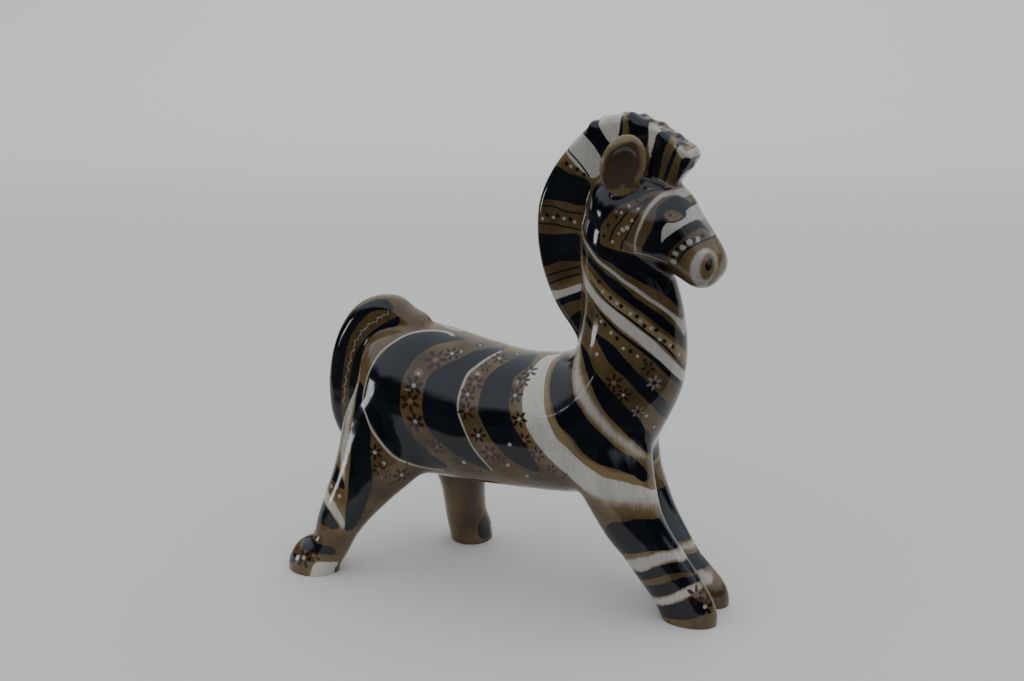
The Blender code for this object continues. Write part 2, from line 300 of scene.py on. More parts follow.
def slab(name, outline, thickness, rounding):
    """A flat clay form with a rounded rim, standing on the middle plane."""
    curve = bpy.data.curves.new(name, "CURVE")
    curve.dimensions = "2D"
    curve.fill_mode = "BOTH"
    curve.resolution_u = 10
    curve.extrude = thickness / 2 - rounding
    curve.bevel_depth = rounding
    curve.bevel_resolution = 4
    curve.offset = -rounding
    spline = curve.splines.new("BEZIER")
    spline.bezier_points.add(len(outline) - 1)
    spline.use_cyclic_u = True
    for point, (x, z) in zip(spline.bezier_points, outline):
        point.co = (x, z, 0)
        point.handle_left_type = "AUTO"
        point.handle_right_type = "AUTO"
    drawn = bpy.data.objects.new(name, curve)
    bpy.context.scene.collection.objects.link(drawn)
    bpy.context.view_layer.update()
    graph = bpy.context.evaluated_depsgraph_get()
    mesh = bpy.data.meshes.new_from_object(drawn.evaluated_get(graph))
    bpy.data.objects.remove(drawn)
    mesh.transform(Matrix.Rotation(math.pi / 2, 4, "X"))
    bm = bmesh.new()
    bm.from_mesh(mesh)
    bmesh.ops.remove_doubles(bm, verts=bm.verts, dist=0.05)
    bmesh.ops.recalc_face_normals(bm, faces=bm.faces)
    return clay(name, [bm])


mane = slab("mane", MANE_RIM + MANE_FOOT, MANE_THICKNESS, MANE_ROUNDING * MANE_THICKNESS)
for vert in mane.data.vertices:
    forward = ramp(vert.co.x, *FORELOCK_LENGTH) * ramp(vert.co.z, *FORELOCK_HEIGHT)
    half = MANE_THICKNESS / 2 * (1 + FORELOCK_SPREAD * forward)
    pressed = vert.co.y * (1 + (FORELOCK_SPREAD + FORELOCK_SQUARING) * forward)
    vert.co.y = max(-half, min(half, pressed))

# Crest
# Soft lumps of clay pinched along the top edge of the mane, left and right by turns,
# from the poll to the forelock.

CREST_SIZES = {"Spacing": 6.4, "Radius": 5.0, "Aside": 2.9}
CREST_START = (40, 350)
CREST_SINK = 0.58  # of the radius, below the rim
CREST_BREADTH = 1.25  # of the radius, across the mane
CREST_UNEVEN = (0.9, 1.12)  # smallest and largest lump, of the radius


def crest_tree(material):
    """Lumps along a line, pushed aside by turns."""
    tree = bpy.data.node_groups.new("crest_lumps", "GeometryNodeTree")
    sockets = tree.interface
    sockets.new_socket("Line", in_out="INPUT", socket_type="NodeSocketGeometry")
    for label, value in CREST_SIZES.items():
        sockets.new_socket(label, in_out="INPUT", socket_type="NodeSocketFloat").default_value = value
    sockets.new_socket("Geometry", in_out="OUTPUT", socket_type="NodeSocketGeometry")

    def add(kind, settings=(), **links):
        node = tree.nodes.new(kind)
        for key, value in settings:
            setattr(node, key, value)
        for socket, source in links.items():
            target = node.inputs[int(socket[1:])]
            if hasattr(source, "is_output"):
                tree.links.new(source, target)
            else:
                target.default_value = source
        return node.outputs

    given = add("NodeGroupInput")
    path = add("GeometryNodeMeshToCurve", i0=given[0])
    spots = tree.nodes.new("GeometryNodeResampleCurve")
    spots.mode = "LENGTH"
    tree.links.new(path[0], spots.inputs["Curve"])
    tree.links.new(given[1], spots.inputs["Length"])
    lump = add("GeometryNodeMeshUVSphere", i0=20, i1=14, i2=1.0)
    number = add("GeometryNodeInputIndex")
    odd = add("ShaderNodeMath", [("operation", "MODULO")], i0=number[0], i1=2.0)
    swing = add("ShaderNodeMath", [("operation", "MULTIPLY_ADD")], i0=odd[0], i1=2.0, i2=-1.0)
    push = add("ShaderNodeMath", [("operation", "MULTIPLY")], i0=swing[0], i1=given[3])
    aside = add("ShaderNodeCombineXYZ", i1=push[0])
    moved = tree.nodes.new("GeometryNodeSetPosition")
    tree.links.new(spots.outputs[0], moved.inputs["Geometry"])
    tree.links.new(aside[0], moved.inputs["Offset"])
    uneven = tree.nodes.new("FunctionNodeRandomValue")
    uneven.data_type = "FLOAT"
    uneven.inputs["Seed"].default_value = 7
    float_out = next(o for o in uneven.outputs if o.enabled)
    for socket in uneven.inputs:
        if socket.enabled and socket.name in ("Min", "Max"):
            socket.default_value = CREST_UNEVEN[("Min", "Max").index(socket.name)]
    size = add("ShaderNodeMath", [("operation", "MULTIPLY")], i0=float_out, i1=given[2])
    wide = add("ShaderNodeMath", [("operation", "MULTIPLY")], i0=size[0], i1=CREST_BREADTH)
    scale = add("ShaderNodeCombineXYZ", i0=size[0], i1=wide[0], i2=size[0])
    placed = tree.nodes.new("GeometryNodeInstanceOnPoints")
    tree.links.new(moved.outputs[0], placed.inputs["Points"])
    tree.links.new(lump[0], placed.inputs["Instance"])
    tree.links.new(scale[0], placed.inputs["Scale"])
    real = add("GeometryNodeRealizeInstances", i0=placed.outputs[0])
    finish = tree.nodes.new("GeometryNodeSetMaterial")
    tree.links.new(real[0], finish.inputs["Geometry"])
    finish.inputs["Material"].default_value = material
    end = tree.nodes.new("NodeGroupOutput")
    tree.links.new(finish.outputs[0], end.inputs[0])
    return tree


glazed_faience = bpy.data.materials.new("clear_glazed_faience")
rim = smooth_rows(MANE_RIM, 8)
first = int(np.argmin(np.hypot(rim[:, 0] - CREST_START[0], rim[:, 1] - CREST_START[1])))
rim = rim[first:]
heading = np.gradient(rim, axis=0)
heading /= np.linalg.norm(heading, axis=1)[:, None]
sunk = rim + np.stack([heading[:, 1], -heading[:, 0]], 1) * CREST_SINK * CREST_SIZES["Radius"]
line = bpy.data.meshes.new("crest")
line.from_pydata([(x, 0, z) for x, z in sunk], [(i, i + 1) for i in range(len(sunk) - 1)], [])
crest = bpy.data.objects.new("crest", line)
bpy.context.scene.collection.objects.link(crest)
lumps = crest.modifiers.new("lumps", "NODES")
lumps.node_group = crest_tree(glazed_faience)
for socket in lumps.node_group.interface.items_tree:
    if socket.in_out == "INPUT" and socket.socket_type == "NodeSocketFloat":
        lumps[socket.identifier] = CREST_SIZES[socket.name]
fixed(crest)

# Tail
# A thick flat tail of clay, cut out like the mane, rounded all the way along its edge,
# set high on the rump and hanging clear of the thighs.

TAIL_THICKNESS = 24.0
TAIL_ROUNDING = 0.42  # of the thickness
TAIL_OUTER = [(-92, 192), (-106, 200.5), (-118, 207.5), (-129, 208), (-141, 205), (-153, 197),
    (-162.5, 185), (-171, 167), (-176, 146), (-177, 125), (-174.5, 108), (-168, 94), (-158, 83)]
TAIL_INNER = [(-150, 86), (-143, 102), (-132, 120), (-120, 142), (-106, 166), (-94, 178)]

tail = slab("tail", TAIL_OUTER + TAIL_INNER, TAIL_THICKNESS, TAIL_ROUNDING * TAIL_THICKNESS)

# Ears
# Two broad leaves of clay luted beside the mane and turned a little forwards,
# each pressed hollow on its outer face with a thumb.

EAR_BASE = (64, 306.5)
EAR_TIP = (76, 349)
EAR_HALF_WIDTH = 15.5
EAR_THICKNESS = 13.0
EAR_SETTING = 25.5  # from the middle plane to the middle of the ear
EAR_TURN = math.radians(18)
EAR_LEAN = math.radians(8)
EAR_HOLLOW = 0.5  # of the thickness
HOLLOW_SHARE = 0.86
HOLLOW_RADIUS = 7.0
HOLLOW_DROP = 2.0


def egg(centre, radii, turn):
    """An egg of clay, for a leaf or for the thumb that hollows it."""
    bm = bmesh.new()
    placed = Matrix.Translation(centre) @ turn @ Matrix.Diagonal((*radii, 1))
    bmesh.ops.create_uvsphere(bm, u_segments=40, v_segments=28, radius=1.0, matrix=placed)
    return bm


def ear(side):
    """A flattened leaf with a hollow. side is -1 right, 1 left."""
    rise = Vector((EAR_TIP[0] - EAR_BASE[0], 0, EAR_TIP[1] - EAR_BASE[1]))
    middle = Vector((EAR_BASE[0], side * EAR_SETTING, EAR_BASE[1])) + rise / 2
    turn = Matrix.Rotation(-side * EAR_TURN, 4, "Z") @ Matrix.Rotation(-side * EAR_LEAN, 4, "X")
    turn = turn @ Matrix.Rotation(math.atan2(rise.x, rise.z), 4, "Y")
    half_height = rise.length / 2
    leaf = clay("ear", [egg(middle, (EAR_HALF_WIDTH, EAR_THICKNESS / 2, half_height), turn)])
    outwards = turn.to_3x3() @ Vector((0, side, 0))
    bowl_at = middle + outwards * (EAR_THICKNESS * (0.5 - EAR_HOLLOW) + HOLLOW_RADIUS)
    bowl_at -= rise.normalized() * HOLLOW_DROP
    bowl_radii = (EAR_HALF_WIDTH * HOLLOW_SHARE, HOLLOW_RADIUS, half_height * HOLLOW_SHARE)
    bowl = clay("bowl", [egg(bowl_at, bowl_radii, turn)])
    cut = leaf.modifiers.new("hollow", "BOOLEAN")
    cut.operation = "DIFFERENCE"
    cut.object = bowl
    fixed(leaf)
    bpy.data.objects.remove(bowl)
    return leaf


ears = [ear(-1), ear(1)]

# Cast zebra
# The pieces are fired as one: joined into a single skin, cut flat under the hooves
# and set over the middle of its own outline, where the cast model stands.

SKIN_VOXEL = 1.62
SKIN_SOFTENING = 5

modelled = {"body": body, "mane": mane, "tail": tail, "crest": crest}
modelled.update({"right ear": ears[0], "left ear": ears[1]})
surfaces = {name: surface_tree(form) for name, form in modelled.items()}
forms = []
for form in (body, mane, crest, tail, *ears):
    bm = bmesh.new()
    bm.from_mesh(form.data)
    forms.append(bm)
    bpy.data.objects.remove(form)
zebra = pressed_together(clay("painted_zebra", forms), SKIN_VOXEL, SKIN_SOFTENING)
bm = bmesh.new()
bm.from_mesh(zebra.data)
everything = [*bm.verts, *bm.edges, *bm.faces]
bmesh.ops.bisect_plane(bm, geom=everything, plane_co=(0, 0, 0), plane_no=(0, 0, 1), clear_inner=True)
bmesh.ops.holes_fill(bm, edges=[edge for edge in bm.edges if edge.is_boundary], sides=0)
bm.to_mesh(zebra.data)
bm.free()
skin = read(zebra.data.vertices, "co", np.float32, 3)

# Painting chart
# The painter worked on the standing animal, so the stripes are drawn in side view, and both flanks carry
# the same stripes. On the round of the back the side view leans outwards, so that stripes don't smear there.
# The left legs are brought under the right ones, whose stripes they share.

LEAN = 0.6  # millimetres down for each one aside
LEAN_FULL = (75, 150)  # heights where the lean starts and is full
LEAN_GONE = (190, 215)
LEG_TOP = (96, 120)  # heights where the left legs' own chart fades into the trunk's
HIND_FRONT = -30
FORE_BACK = 20
HIND_HEIGHTS = (0, 21, 55, 75, 96, 118)
HIND_MIDDLE = (52, 49, 42, 37, 31, 24.5)  # of the leg at those heights, from the middle plane
HIND_FACE = 3.0  # the stripes end that far outside the leg's middle
HIND_JOIN = (92, 125)  # heights over which the leg's inner side ends
HIND_PART = -20  # further forward nothing is a hind leg's inner side
OUTER_SIDE = -40.0
FAR = 30.0  # beyond the reach of every brush stroke
FILL_REACH = 14.0
STROKE_REACH = 6.0


def leg_shift(height, from_leg, to_leg):
    """How far a left leg stands from the right one at some height."""
    rows = smooth_rows([(*c, l, w) for c, l, w in from_leg], RINGS_BETWEEN)[::-1]
    others = smooth_rows([(*c, l, w) for c, l, w in to_leg], RINGS_BETWEEN)[::-1]
    at_this = np.interp(height, rows[:, 2], rows[:, 0])
    at_other = np.interp(height, others[:, 2], others[:, 0])
    return at_other - at_this


owner = np.full(len(skin), -1)
nearest = np.full(len(skin), np.inf)
for number, tree in enumerate(surfaces.values()):
    gaps = np.array([tree.find_nearest(point)[3] for point in skin.tolist()])
    closer = gaps < nearest
    owner[closer] = number
    nearest[closer] = gaps[closer]
names = list(surfaces)
on_body = owner == names.index("body")
on_mane = (owner == names.index("mane")) | (owner == names.index("crest"))
on_tail = owner == names.index("tail")
on_ear = (owner == names.index("right ear")) | (owner == names.index("left ear"))

x, y, z = skin.T
left = y > 0
lean = LEAN * ramp(z, *LEAN_FULL) * (1 - ramp(z, *LEAN_GONE))
chart_x = x.copy()
chart_z = np.where(on_body, z - lean * np.abs(y), z)
below = 1 - ramp(z, *LEG_TOP)
hind = left & on_body & (x < HIND_FRONT)
fore = left & on_body & (x > FORE_BACK)
chart_x += np.where(hind, leg_shift(z, LEFT_HIND, RIGHT_HIND) * below, 0)
chart_x += np.where(fore, leg_shift(z, LEFT_FORE, RIGHT_FORE) * below, 0)
chart = np.stack([chart_x, chart_z], 1)
above = ramp(z, *HIND_JOIN)
inside_hind = np.interp(z, HIND_HEIGHTS, HIND_MIDDLE) - np.abs(y) + HIND_FACE
inside_hind = inside_hind * (1 - above) + OUTER_SIDE * above
inside_hind = np.where(x < HIND_PART, inside_hind, OUTER_SIDE)


def blank():
    """Far from every stroke, at each point of the skin."""
    return np.full(len(skin), FAR)


def reach(outline, where, margin):
    """Points of the skin within reach of an outline."""
    low = outline.min(0) - margin
    high = outline.max(0) + margin
    return np.flatnonzero(where & (chart >= low).all(1) & (chart <= high).all(1))


def fill(layer, points, where, feather=None):
    """Adds a filled shape to a layer: millimetres to its edge, less than nothing inside.
    A feather is how far its edge is dragged out by the brush, in millimetres."""
    outline = smooth_rows(points, 4, closed=True)
    chosen = reach(outline, where, FILL_REACH)
    spots = chart[chosen]
    distance = np.full(len(chosen), 1e9)
    inside = np.zeros(len(chosen), bool)
    for start, end in zip(outline, np.roll(outline, -1, axis=0)):
        edge = end - start
        share = np.clip(((spots - start) @ edge) / max(edge @ edge, 1e-9), 0, 1)
        distance = np.minimum(distance, np.linalg.norm(spots - start - share[:, None] * edge, axis=1))
        crosses = (start[1] > spots[:, 1]) != (end[1] > spots[:, 1])
        if edge[1]:
            inside ^= crosses & (spots[:, 0] < start[0] + edge[0] * (spots[:, 1] - start[1]) / edge[1])
    signed = np.where(inside, -distance, distance)
    closer = signed < layer[chosen]
    layer[chosen[closer]] = signed[closer]
    if feather is not None:
        feathering[chosen[closer]] = feather


def stroke(across, beside, points, half_width, where):
    """Adds a thin line: its signed place across it in half widths, and the millimetres beyond its edge."""
    path = smooth_rows(points, 4)
    widths = np.interp(np.linspace(0, 1, len(path)), np.linspace(0, 1, len(half_width)), half_width)
    chosen = reach(path, where, STROKE_REACH)
    spots = chart[chosen]
    distance = np.full(len(chosen), 1e9)
    side = np.ones(len(chosen))
    half = np.ones(len(chosen))
    for index, (start, end) in enumerate(zip(path, path[1:])):
        edge = end - start
        share = np.clip(((spots - start) @ edge) / max(edge @ edge, 1e-9), 0, 1)
        offset = spots - start - share[:, None] * edge
        gap = np.linalg.norm(offset, axis=1)
        better = gap < distance
        distance[better] = gap[better]
        half[better] = widths[index]
        side[better] = np.where(edge[0] * offset[better, 1] - edge[1] * offset[better, 0] > 0, 1, -1)
    beyond = distance - half
    better = beyond < beside[chosen]
    beside[chosen[better]] = beyond[better]
    across[chosen[better]] = (side * distance / half)[better]


dark = blank()
tan = blank()
white = blank()
brushed = blank()
feathering = np.full(len(skin), 0.8)
line_across = blank()
line_beside = blank()
pale_across = blank()
pale_beside = blank()

# Trunk stripes
# Blue-black lenses laid on with a full brush and edged in white slip, over an ochre ground
# that is left bare between them for the flowers.

THIGH = [(-58.5, 180.5), (-64, 176.5), (-74, 170), (-80.5, 162.5), (-86.5, 152.5), (-89, 144), (-91.5, 135),
    (-92, 120), (-91.5, 112), (-89, 106.5), (-84, 102.5), (-78.5, 99.5), (-67.5, 95.5), (-57.5, 91.5),
    (-67.5, 89), (-75.5, 88.5), (-86.5, 91), (-96.5, 93.5), (-105.5, 97), (-113, 101), (-120, 106.5),
    (-124, 112), (-124, 119.5), (-122.5, 130.5), (-119.5, 142), (-114, 153), (-107, 165.5), (-98, 174.5),
    (-88, 180), (-79, 183), (-71, 183.5), (-64, 182.5)]
LOIN = [(-30, 179), (-36.5, 177.5), (-42, 173.5), (-48, 168.5), (-53.5, 160.5), (-60.5, 154), (-66.5, 147),
    (-70.5, 142), (-73, 134.5), (-73.5, 118.5), (-73, 112.5), (-71, 107), (-64.5, 102), (-58, 100),
    (-51, 98), (-44.5, 96.5), (-36.5, 95), (-28, 93.5), (-23, 93), (-26, 96), (-31, 99), (-36, 102.5),
    (-43, 109.5), (-45, 115.5), (-46.5, 123), (-46.5, 131), (-45, 139.5), (-43.5, 148.5), (-40, 155.5),
    (-36.5, 162.5), (-32.5, 170.5), (-28.5, 177)]
FLANK = [(-2, 175), (-4.5, 178), (-9, 177), (-14.5, 171.5), (-18.5, 166), (-23, 159.5), (-26.5, 153),
    (-29, 145.5), (-30, 137.5), (-30, 119), (-26.5, 112.5), (-22.5, 108), (-17.5, 104), (-12, 101.5),
    (-5.5, 99), (2.5, 97.5), (11, 96), (17.5, 96.5), (16, 99), (12, 101.5), (8, 105), (2.5, 109),
    (-2, 113.5), (-5, 120), (-7.5, 129), (-9, 146.5), (-8, 152.5), (-4.5, 159), (-1, 166)]
SHOULDER = [(33, 185), (24.5, 179), (19.5, 169), (19, 160), (21, 149), (23.5, 138), (27.5, 129.5),
    (31, 121),
    (35, 116), (43, 111.5), (49, 107), (57, 104), (64.5, 102.5), (73.5, 102), (83, 101.5), (89, 100.5),
    (93.5, 99), (95, 103), (87.5, 108.5), (80, 110), (74, 112), (66, 116), (59.5, 120), (53.5, 125),
    (48, 132.5), (43.5, 138), (39.5, 149.5), (35.5, 165), (34, 176)]
BREAST = [(38, 190.5), (42.5, 178), (46, 169), (49, 162), (53.5, 153.5), (59, 142.5), (65.5, 133),
    (72, 126.5),
    (78.5, 121.5), (85.5, 117.5), (93, 114.5), (98, 117), (97, 122), (92, 127), (89, 129.5), (86.5, 134),
    (80, 139), (75, 144), (69, 149), (63, 155.5), (57, 161), (53, 167), (50, 173.5), (45.5, 182)]
SHOULDER_FEATHER = [(37.5, 192.5), (41, 181.5), (43, 170.5), (44.5, 161.5), (49.5, 152.5), (53.5, 145),
    (58.5, 137.5), (64.5, 130), (69.5, 125), (75.5, 121), (82.5, 118), (88.5, 115), (93, 112.5), (91, 110),
    (87, 110.5), (79.5, 112.5), (73.5, 114), (66, 117.5), (59.5, 122.5), (53.5, 128.5), (47.5, 136),
    (42.5, 142.5), (39.5, 150.5), (36, 165), (34.5, 177)]
GIRTH = [(13, 179), (6.5, 176), (4, 170), (2.5, 162), (1.5, 151), (1.5, 142), (2.5, 131.5), (5, 121.5),
    (9, 112.5), (15, 107), (20, 104), (24, 102), (30.5, 99.5), (36, 97.5), (43, 94), (52.5, 90.5),
    (58, 89.5), (64, 88.5), (69, 87), (73, 86.5), (77.5, 87), (87, 87), (93.5, 86.5), (98.5, 86),
    (108, 86.5), (106, 91), (98, 95.5), (92.5, 97.5), (88.5, 97.5), (80.5, 98), (72, 98), (65.5, 98.5),
    (59, 100), (48.5, 103), (40, 106.5), (31.5, 110.5), (25, 119), (21, 128.5), (18.5, 139), (16, 151),
    (14.5, 162.5), (14.5, 172), (18, 182)]
BEHIND_SHOULDER = [(18, 182), (17.5, 171), (17.5, 160), (19, 149), (22, 138), (25, 129), (29.5, 121),
    (34.5, 115.5), (41.5, 110.5), (47.5, 106), (55.5, 103.5), (64, 102), (73, 100.5), (82, 101),
    (89.5, 101), (94.5, 99.5), (91.5, 97.5), (84.5, 97.5), (73.5, 97.5), (64.5, 98), (55, 100.5),
    (46, 104), (37, 107), (29.5, 112), (23, 120), (19.5, 130.5), (16.5, 139.5), (14, 152), (13, 164.5),
    (13.5, 177)]
THIGH_EDGE = [(-69, 182), (-74, 184), (-80.5, 184), (-89, 181.5), (-99, 175.5), (-107.5, 166),
    (-115.5, 155),
    (-120.5, 142.5), (-124, 130.5), (-126, 119.5), (-125.5, 112), (-121, 106), (-115, 100.5),
    (-105.5, 96), (-96.5, 92.5), (-86.5, 90), (-76, 87.5), (-64, 87.5)]
LOIN_EDGE = [(-29.5, 174), (-32, 169), (-35.5, 163), (-39, 156), (-43, 148.5), (-44.5, 140), (-45.5, 131),
    (-46, 123.5), (-45, 115.5), (-42, 110), (-38, 105), (-34.5, 101.5), (-30.5, 99), (-25, 96),
        (-21.5, 93.5)]
GIRTH_DRAG_AND_SHADE = (86, 100)  # heights over which the white of the girth is dragged down the foreleg and greyed downwards, partly as painted shade

for shape in (THIGH, LOIN, FLANK, SHOULDER, BREAST):
    fill(dark, shape, on_body)
fill(brushed, SHOULDER_FEATHER, on_body, 3.2)
fill(brushed, GIRTH, on_body, 0.5)
on_foreleg = on_body & (x > 30) & (z < 106) & (feathering < 2)
feathering = np.where(on_foreleg, 0.5 + 6.5 * (1 - ramp(z, *GIRTH_DRAG_AND_SHADE)), feathering)
fill(tan, BEHIND_SHOULDER, on_body)
stroke(pale_across, pale_beside, THIGH_EDGE, (1.2, 0.9, 0.7, 0.55, 0.4), on_body)
stroke(pale_across, pale_beside, LOIN_EDGE, (0.9, 1.2, 0.8, 0.45, 0.4), on_body)

# Neck stripes
# The same blue-black and white, wound round the neck in long slanting bands from the mane to the breast,
# with dotted ochre and fine black and pale lines between them.

NECK_ROOT = [(42, 216), (49, 209.5), (53, 201.5), (58, 188.5), (62.5, 177), (66, 170), (72, 165), (79, 160),
    (85, 153.5), (90, 149.5), (94, 146), (97, 142.5), (101, 140), (105, 144), (103, 150), (100, 154),
    (97, 157), (94, 160.5), (89.5, 163.5), (84.5, 168), (79, 173.5), (73, 184), (68, 194), (61.5, 201.5),
    (54.5, 207), (49.5, 214.5), (44, 219)]
UPPER_NECK = [(36, 262), (44, 257.5), (52, 252), (58, 247), (66, 240.5), (74, 235.5), (82, 230),
    (89.5, 224.5),
    (95.5, 218.5), (102, 211.5), (106.5, 203), (110, 194), (112, 196), (111, 202), (108, 208.5),
    (105.5, 214), (100.5, 221), (95, 227), (87.5, 233), (81, 237.5), (74.5, 243.5), (67, 248.5),
    (60, 252), (53.5, 256.5), (47, 260), (37.5, 265)]
THROAT = [(39, 284), (37.5, 277.5), (41.5, 274), (46, 269.5), (51.5, 265.5), (56, 262.5), (64, 259.5),
    (69.5, 256), (77, 252), (83.5, 248), (90, 244), (95.5, 240), (100.5, 234), (104, 228), (108, 219),
    (112, 222), (111, 236), (106, 246), (102, 254), (97, 260), (92.5, 262.5), (84.5, 264.5), (77, 267),
    (69.5, 268.5), (62.5, 270), (55, 272.5), (54.5, 280), (55, 284.5), (59, 290), (62.5, 295), (67, 299),
    (73, 302), (78, 304.5), (83, 307), (85, 310.5), (80, 311), (74.5, 309.5), (66, 309), (58, 309.5),
    (50.5, 311), (45, 309), (42, 301), (40, 294)]
NECK_BAND = [(34.5, 258.5), (35, 249), (37, 241.5), (41.5, 237), (47.5, 233), (55, 227.5), (62, 222.5),
    (69, 217.5), (77, 211.5), (84, 203), (91.5, 190.5), (98.5, 180), (104.5, 174.5), (109, 172),
    (110.5, 176), (108.5, 180.5), (105, 184.5), (100, 193), (95, 203.5), (88.5, 212.5), (81, 218.5),
    (74, 223.5), (66, 228.5), (59, 232.5), (52, 237), (47, 241.5), (41.5, 246), (36.5, 253)]
NECK_TAN = [(37.5, 254.5), (46, 250.5), (53.5, 245), (63.5, 238.5), (72.5, 233), (81, 228), (88.5, 222.5),
    (95, 216), (101.5, 208), (106.5, 199), (111, 192), (110, 186.5), (106, 189.5), (100.5, 199),
    (94, 210), (85.5, 218), (77.5, 223), (68.5, 228.5), (59, 234), (50, 240), (41.5, 246)]
NECK_LINE = [(34.5, 297), (34, 291), (33.5, 284), (34, 277), (37.5, 272), (43, 268.5), (48, 264.5),
    (53.5, 260), (61, 256), (67, 252.5), (72.5, 248.5), (79, 244.5), (84.5, 240.5), (90, 236),
        (94.5, 232.5),
    (99.5, 227.5), (104, 221.5), (107, 215), (109, 207.5), (111, 199)]
NECK_HAIR = [(47, 244.5), (56.5, 236.5), (66, 229.5), (74.5, 225), (81, 220.5), (88, 215), (95, 207),
    (100.5, 198), (105, 188.5), (108.5, 183), (111, 180)]
ROOT_HAIR = [(51.5, 227.5), (59, 221.5), (67, 215.5), (76.5, 206.5), (86.5, 193), (94.5, 181.5), (102, 174),
    (106.5, 170.5), (109, 168.5)]

for shape in (NECK_ROOT, UPPER_NECK, THROAT):
    fill(dark, shape, on_body)
fill(white, NECK_BAND, on_body)
fill(tan, NECK_TAN, on_body)
stroke(pale_across, pale_beside, NECK_LINE, (1.0, 1.25, 1.25, 1.25, 0.9, 0.8), on_body)
stroke(line_across, line_beside, NECK_HAIR, (0.5, 0.75, 0.75, 0.6), on_body)
stroke(line_across, line_beside, ROOT_HAIR, (0.6, 1.5, 2.0, 2.2), on_body)

# Face
# A black mask round each eye, white slip over the brow and down the nose, fine lines on the cheek,
# a noseband, and a white ring round each nostril on the bare ochre muzzle.

MASK = [(101.5, 306.5), (105.5, 306), (110.5, 302.5), (114, 298.5), (117, 293), (121, 287), (126.5, 279.5),
    (128, 277.5), (124.5, 282), (120.5, 285.5), (117, 284), (113, 281.5), (109, 277.5), (104, 271.5),
    (100, 263.5), (93.5, 265.5), (85, 268.5), (85.5, 272.5), (90, 281), (93.5, 290.5), (94, 298.5),
        (96.5, 303)]
EYE_PATCH = [(111, 297.5), (112.5, 299.5), (115.5, 298.5), (118.5, 293), (122, 287.5), (125, 283.5),
    (128.5, 278.5),
    (126.5, 279.5), (123, 284.5), (121, 287), (119, 289.5), (117.5, 291), (115.5, 290.5), (112, 289),
    (108, 286), (103, 282), (100, 279), (99, 275.5), (98.5, 280), (99, 286.5), (100, 288.5), (101.5, 290.5),
    (104.5, 291.5), (108.5, 292.5), (111, 294), (111.5, 295.5)]
NOSTRIL_RING = [(126, 274), (122.5, 272.5), (119.5, 269), (117.5, 264), (116.5, 258.5), (117, 252.5),
    (119.5, 247.5),
    (123, 244.5), (128, 248), (132, 253.5), (133.5, 259), (133.5, 264.5), (130.5, 270.5)]
NOSTRIL_BARE = [(127.5, 270), (126, 267), (124.5, 262), (124.7, 257.5), (125.7, 254), (128, 253),
    (130.5, 255.5),
    (132, 260), (131.7, 264.5), (130.3, 268)]
NOSTRIL = [(129, 267), (127.5, 265.3), (127, 262), (128, 259.3), (129.5, 259), (130.8, 261.3),
    (130.8, 264.5),
    (130.3, 266.7)]
HAIR = (0.6, 0.6)  # half width of the finest brush, at both ends of a line
EYE_LINE = [(98, 296), (100, 298.4), (103, 299.4), (106.3, 298.6), (109, 296.6), (111, 294.5),
    (108.8, 292.3),
    (105.5, 291.2), (103, 291.4), (100.3, 293), (98, 296)]
CHEEK_LINE = [(107.5, 306.5), (104, 308.7), (99.5, 309), (95, 307.5), (92, 304.3), (89, 300), (86.5, 294.5),
    (84.5, 288.5), (82.5, 283), (80.5, 275.5), (80.5, 270.5)]
JAW_LINE = [(71, 269.5), (77.5, 268), (84, 268), (90, 266.8), (96.5, 264), (101, 261.5)]
POLL_DARK = [(76.5, 309), (76, 315), (80, 318.5), (88, 317.5), (95, 314), (94, 311.5), (86.5, 312),
    (81.5, 309.5)]
POLL_HAIR = [(78, 305), (84, 309), (91, 311), (98, 311)]
POLL_LINE = [(44, 317), (40, 308.5), (37.5, 300.5), (37, 294), (37.5, 288)]
CHEEK_HAIR = [(86.5, 305.5), (81.5, 301.5), (75, 296.5), (70, 290), (65.5, 284), (63, 278.5), (62, 275.5)]
CHEEK_HAIR_2 = [(90, 306.5), (85, 300.5), (82, 294.5), (78, 287), (74.5, 279.5), (71, 274.5), (70, 270.5)]
NOSEBAND = [(127.5, 279), (124, 278.3), (120.5, 276.5), (115.5, 273.5), (112, 269.5), (109.5, 265),
    (107.5, 261.5)]

fill(dark, MASK, on_body)
fill(dark, POLL_DARK, on_body)
stroke(line_across, line_beside, POLL_HAIR, (0.6, 0.8), on_body)
fill(white, EYE_PATCH, on_body)
muzzle = blank()
fill(muzzle, NOSTRIL_RING, on_body)
hole = blank()
fill(hole, NOSTRIL_BARE, on_body)
ring = np.maximum(muzzle, -hole)
feathering = np.where(ring < brushed, 1.5, feathering)
brushed = np.minimum(brushed, ring)
fill(dark, NOSTRIL, on_body)
eye = blank()
fill(eye, EYE_LINE[:-1], on_body)
dark = np.maximum(dark, -eye)
white = np.maximum(white, -eye)
for path in (EYE_LINE, CHEEK_HAIR, CHEEK_HAIR_2, NOSEBAND):
    stroke(line_across, line_beside, path, HAIR, on_body)
stroke(pale_across, pale_beside, CHEEK_LINE, (1.2, 1.6, 1.5, 1.2, 0.9, 0.7), on_body)
stroke(pale_across, pale_beside, JAW_LINE, (0.15, 0.35, 0.25), on_body)
stroke(pale_across, pale_beside, POLL_LINE, (0.9, 0.9), on_body)

# Mane stripes
# Short bars across the comb, black, bare and white by turns, with fine lines and dots on the bare ones.
# The crest itself is bare, with a black scrawl and rust blots over its lumps.

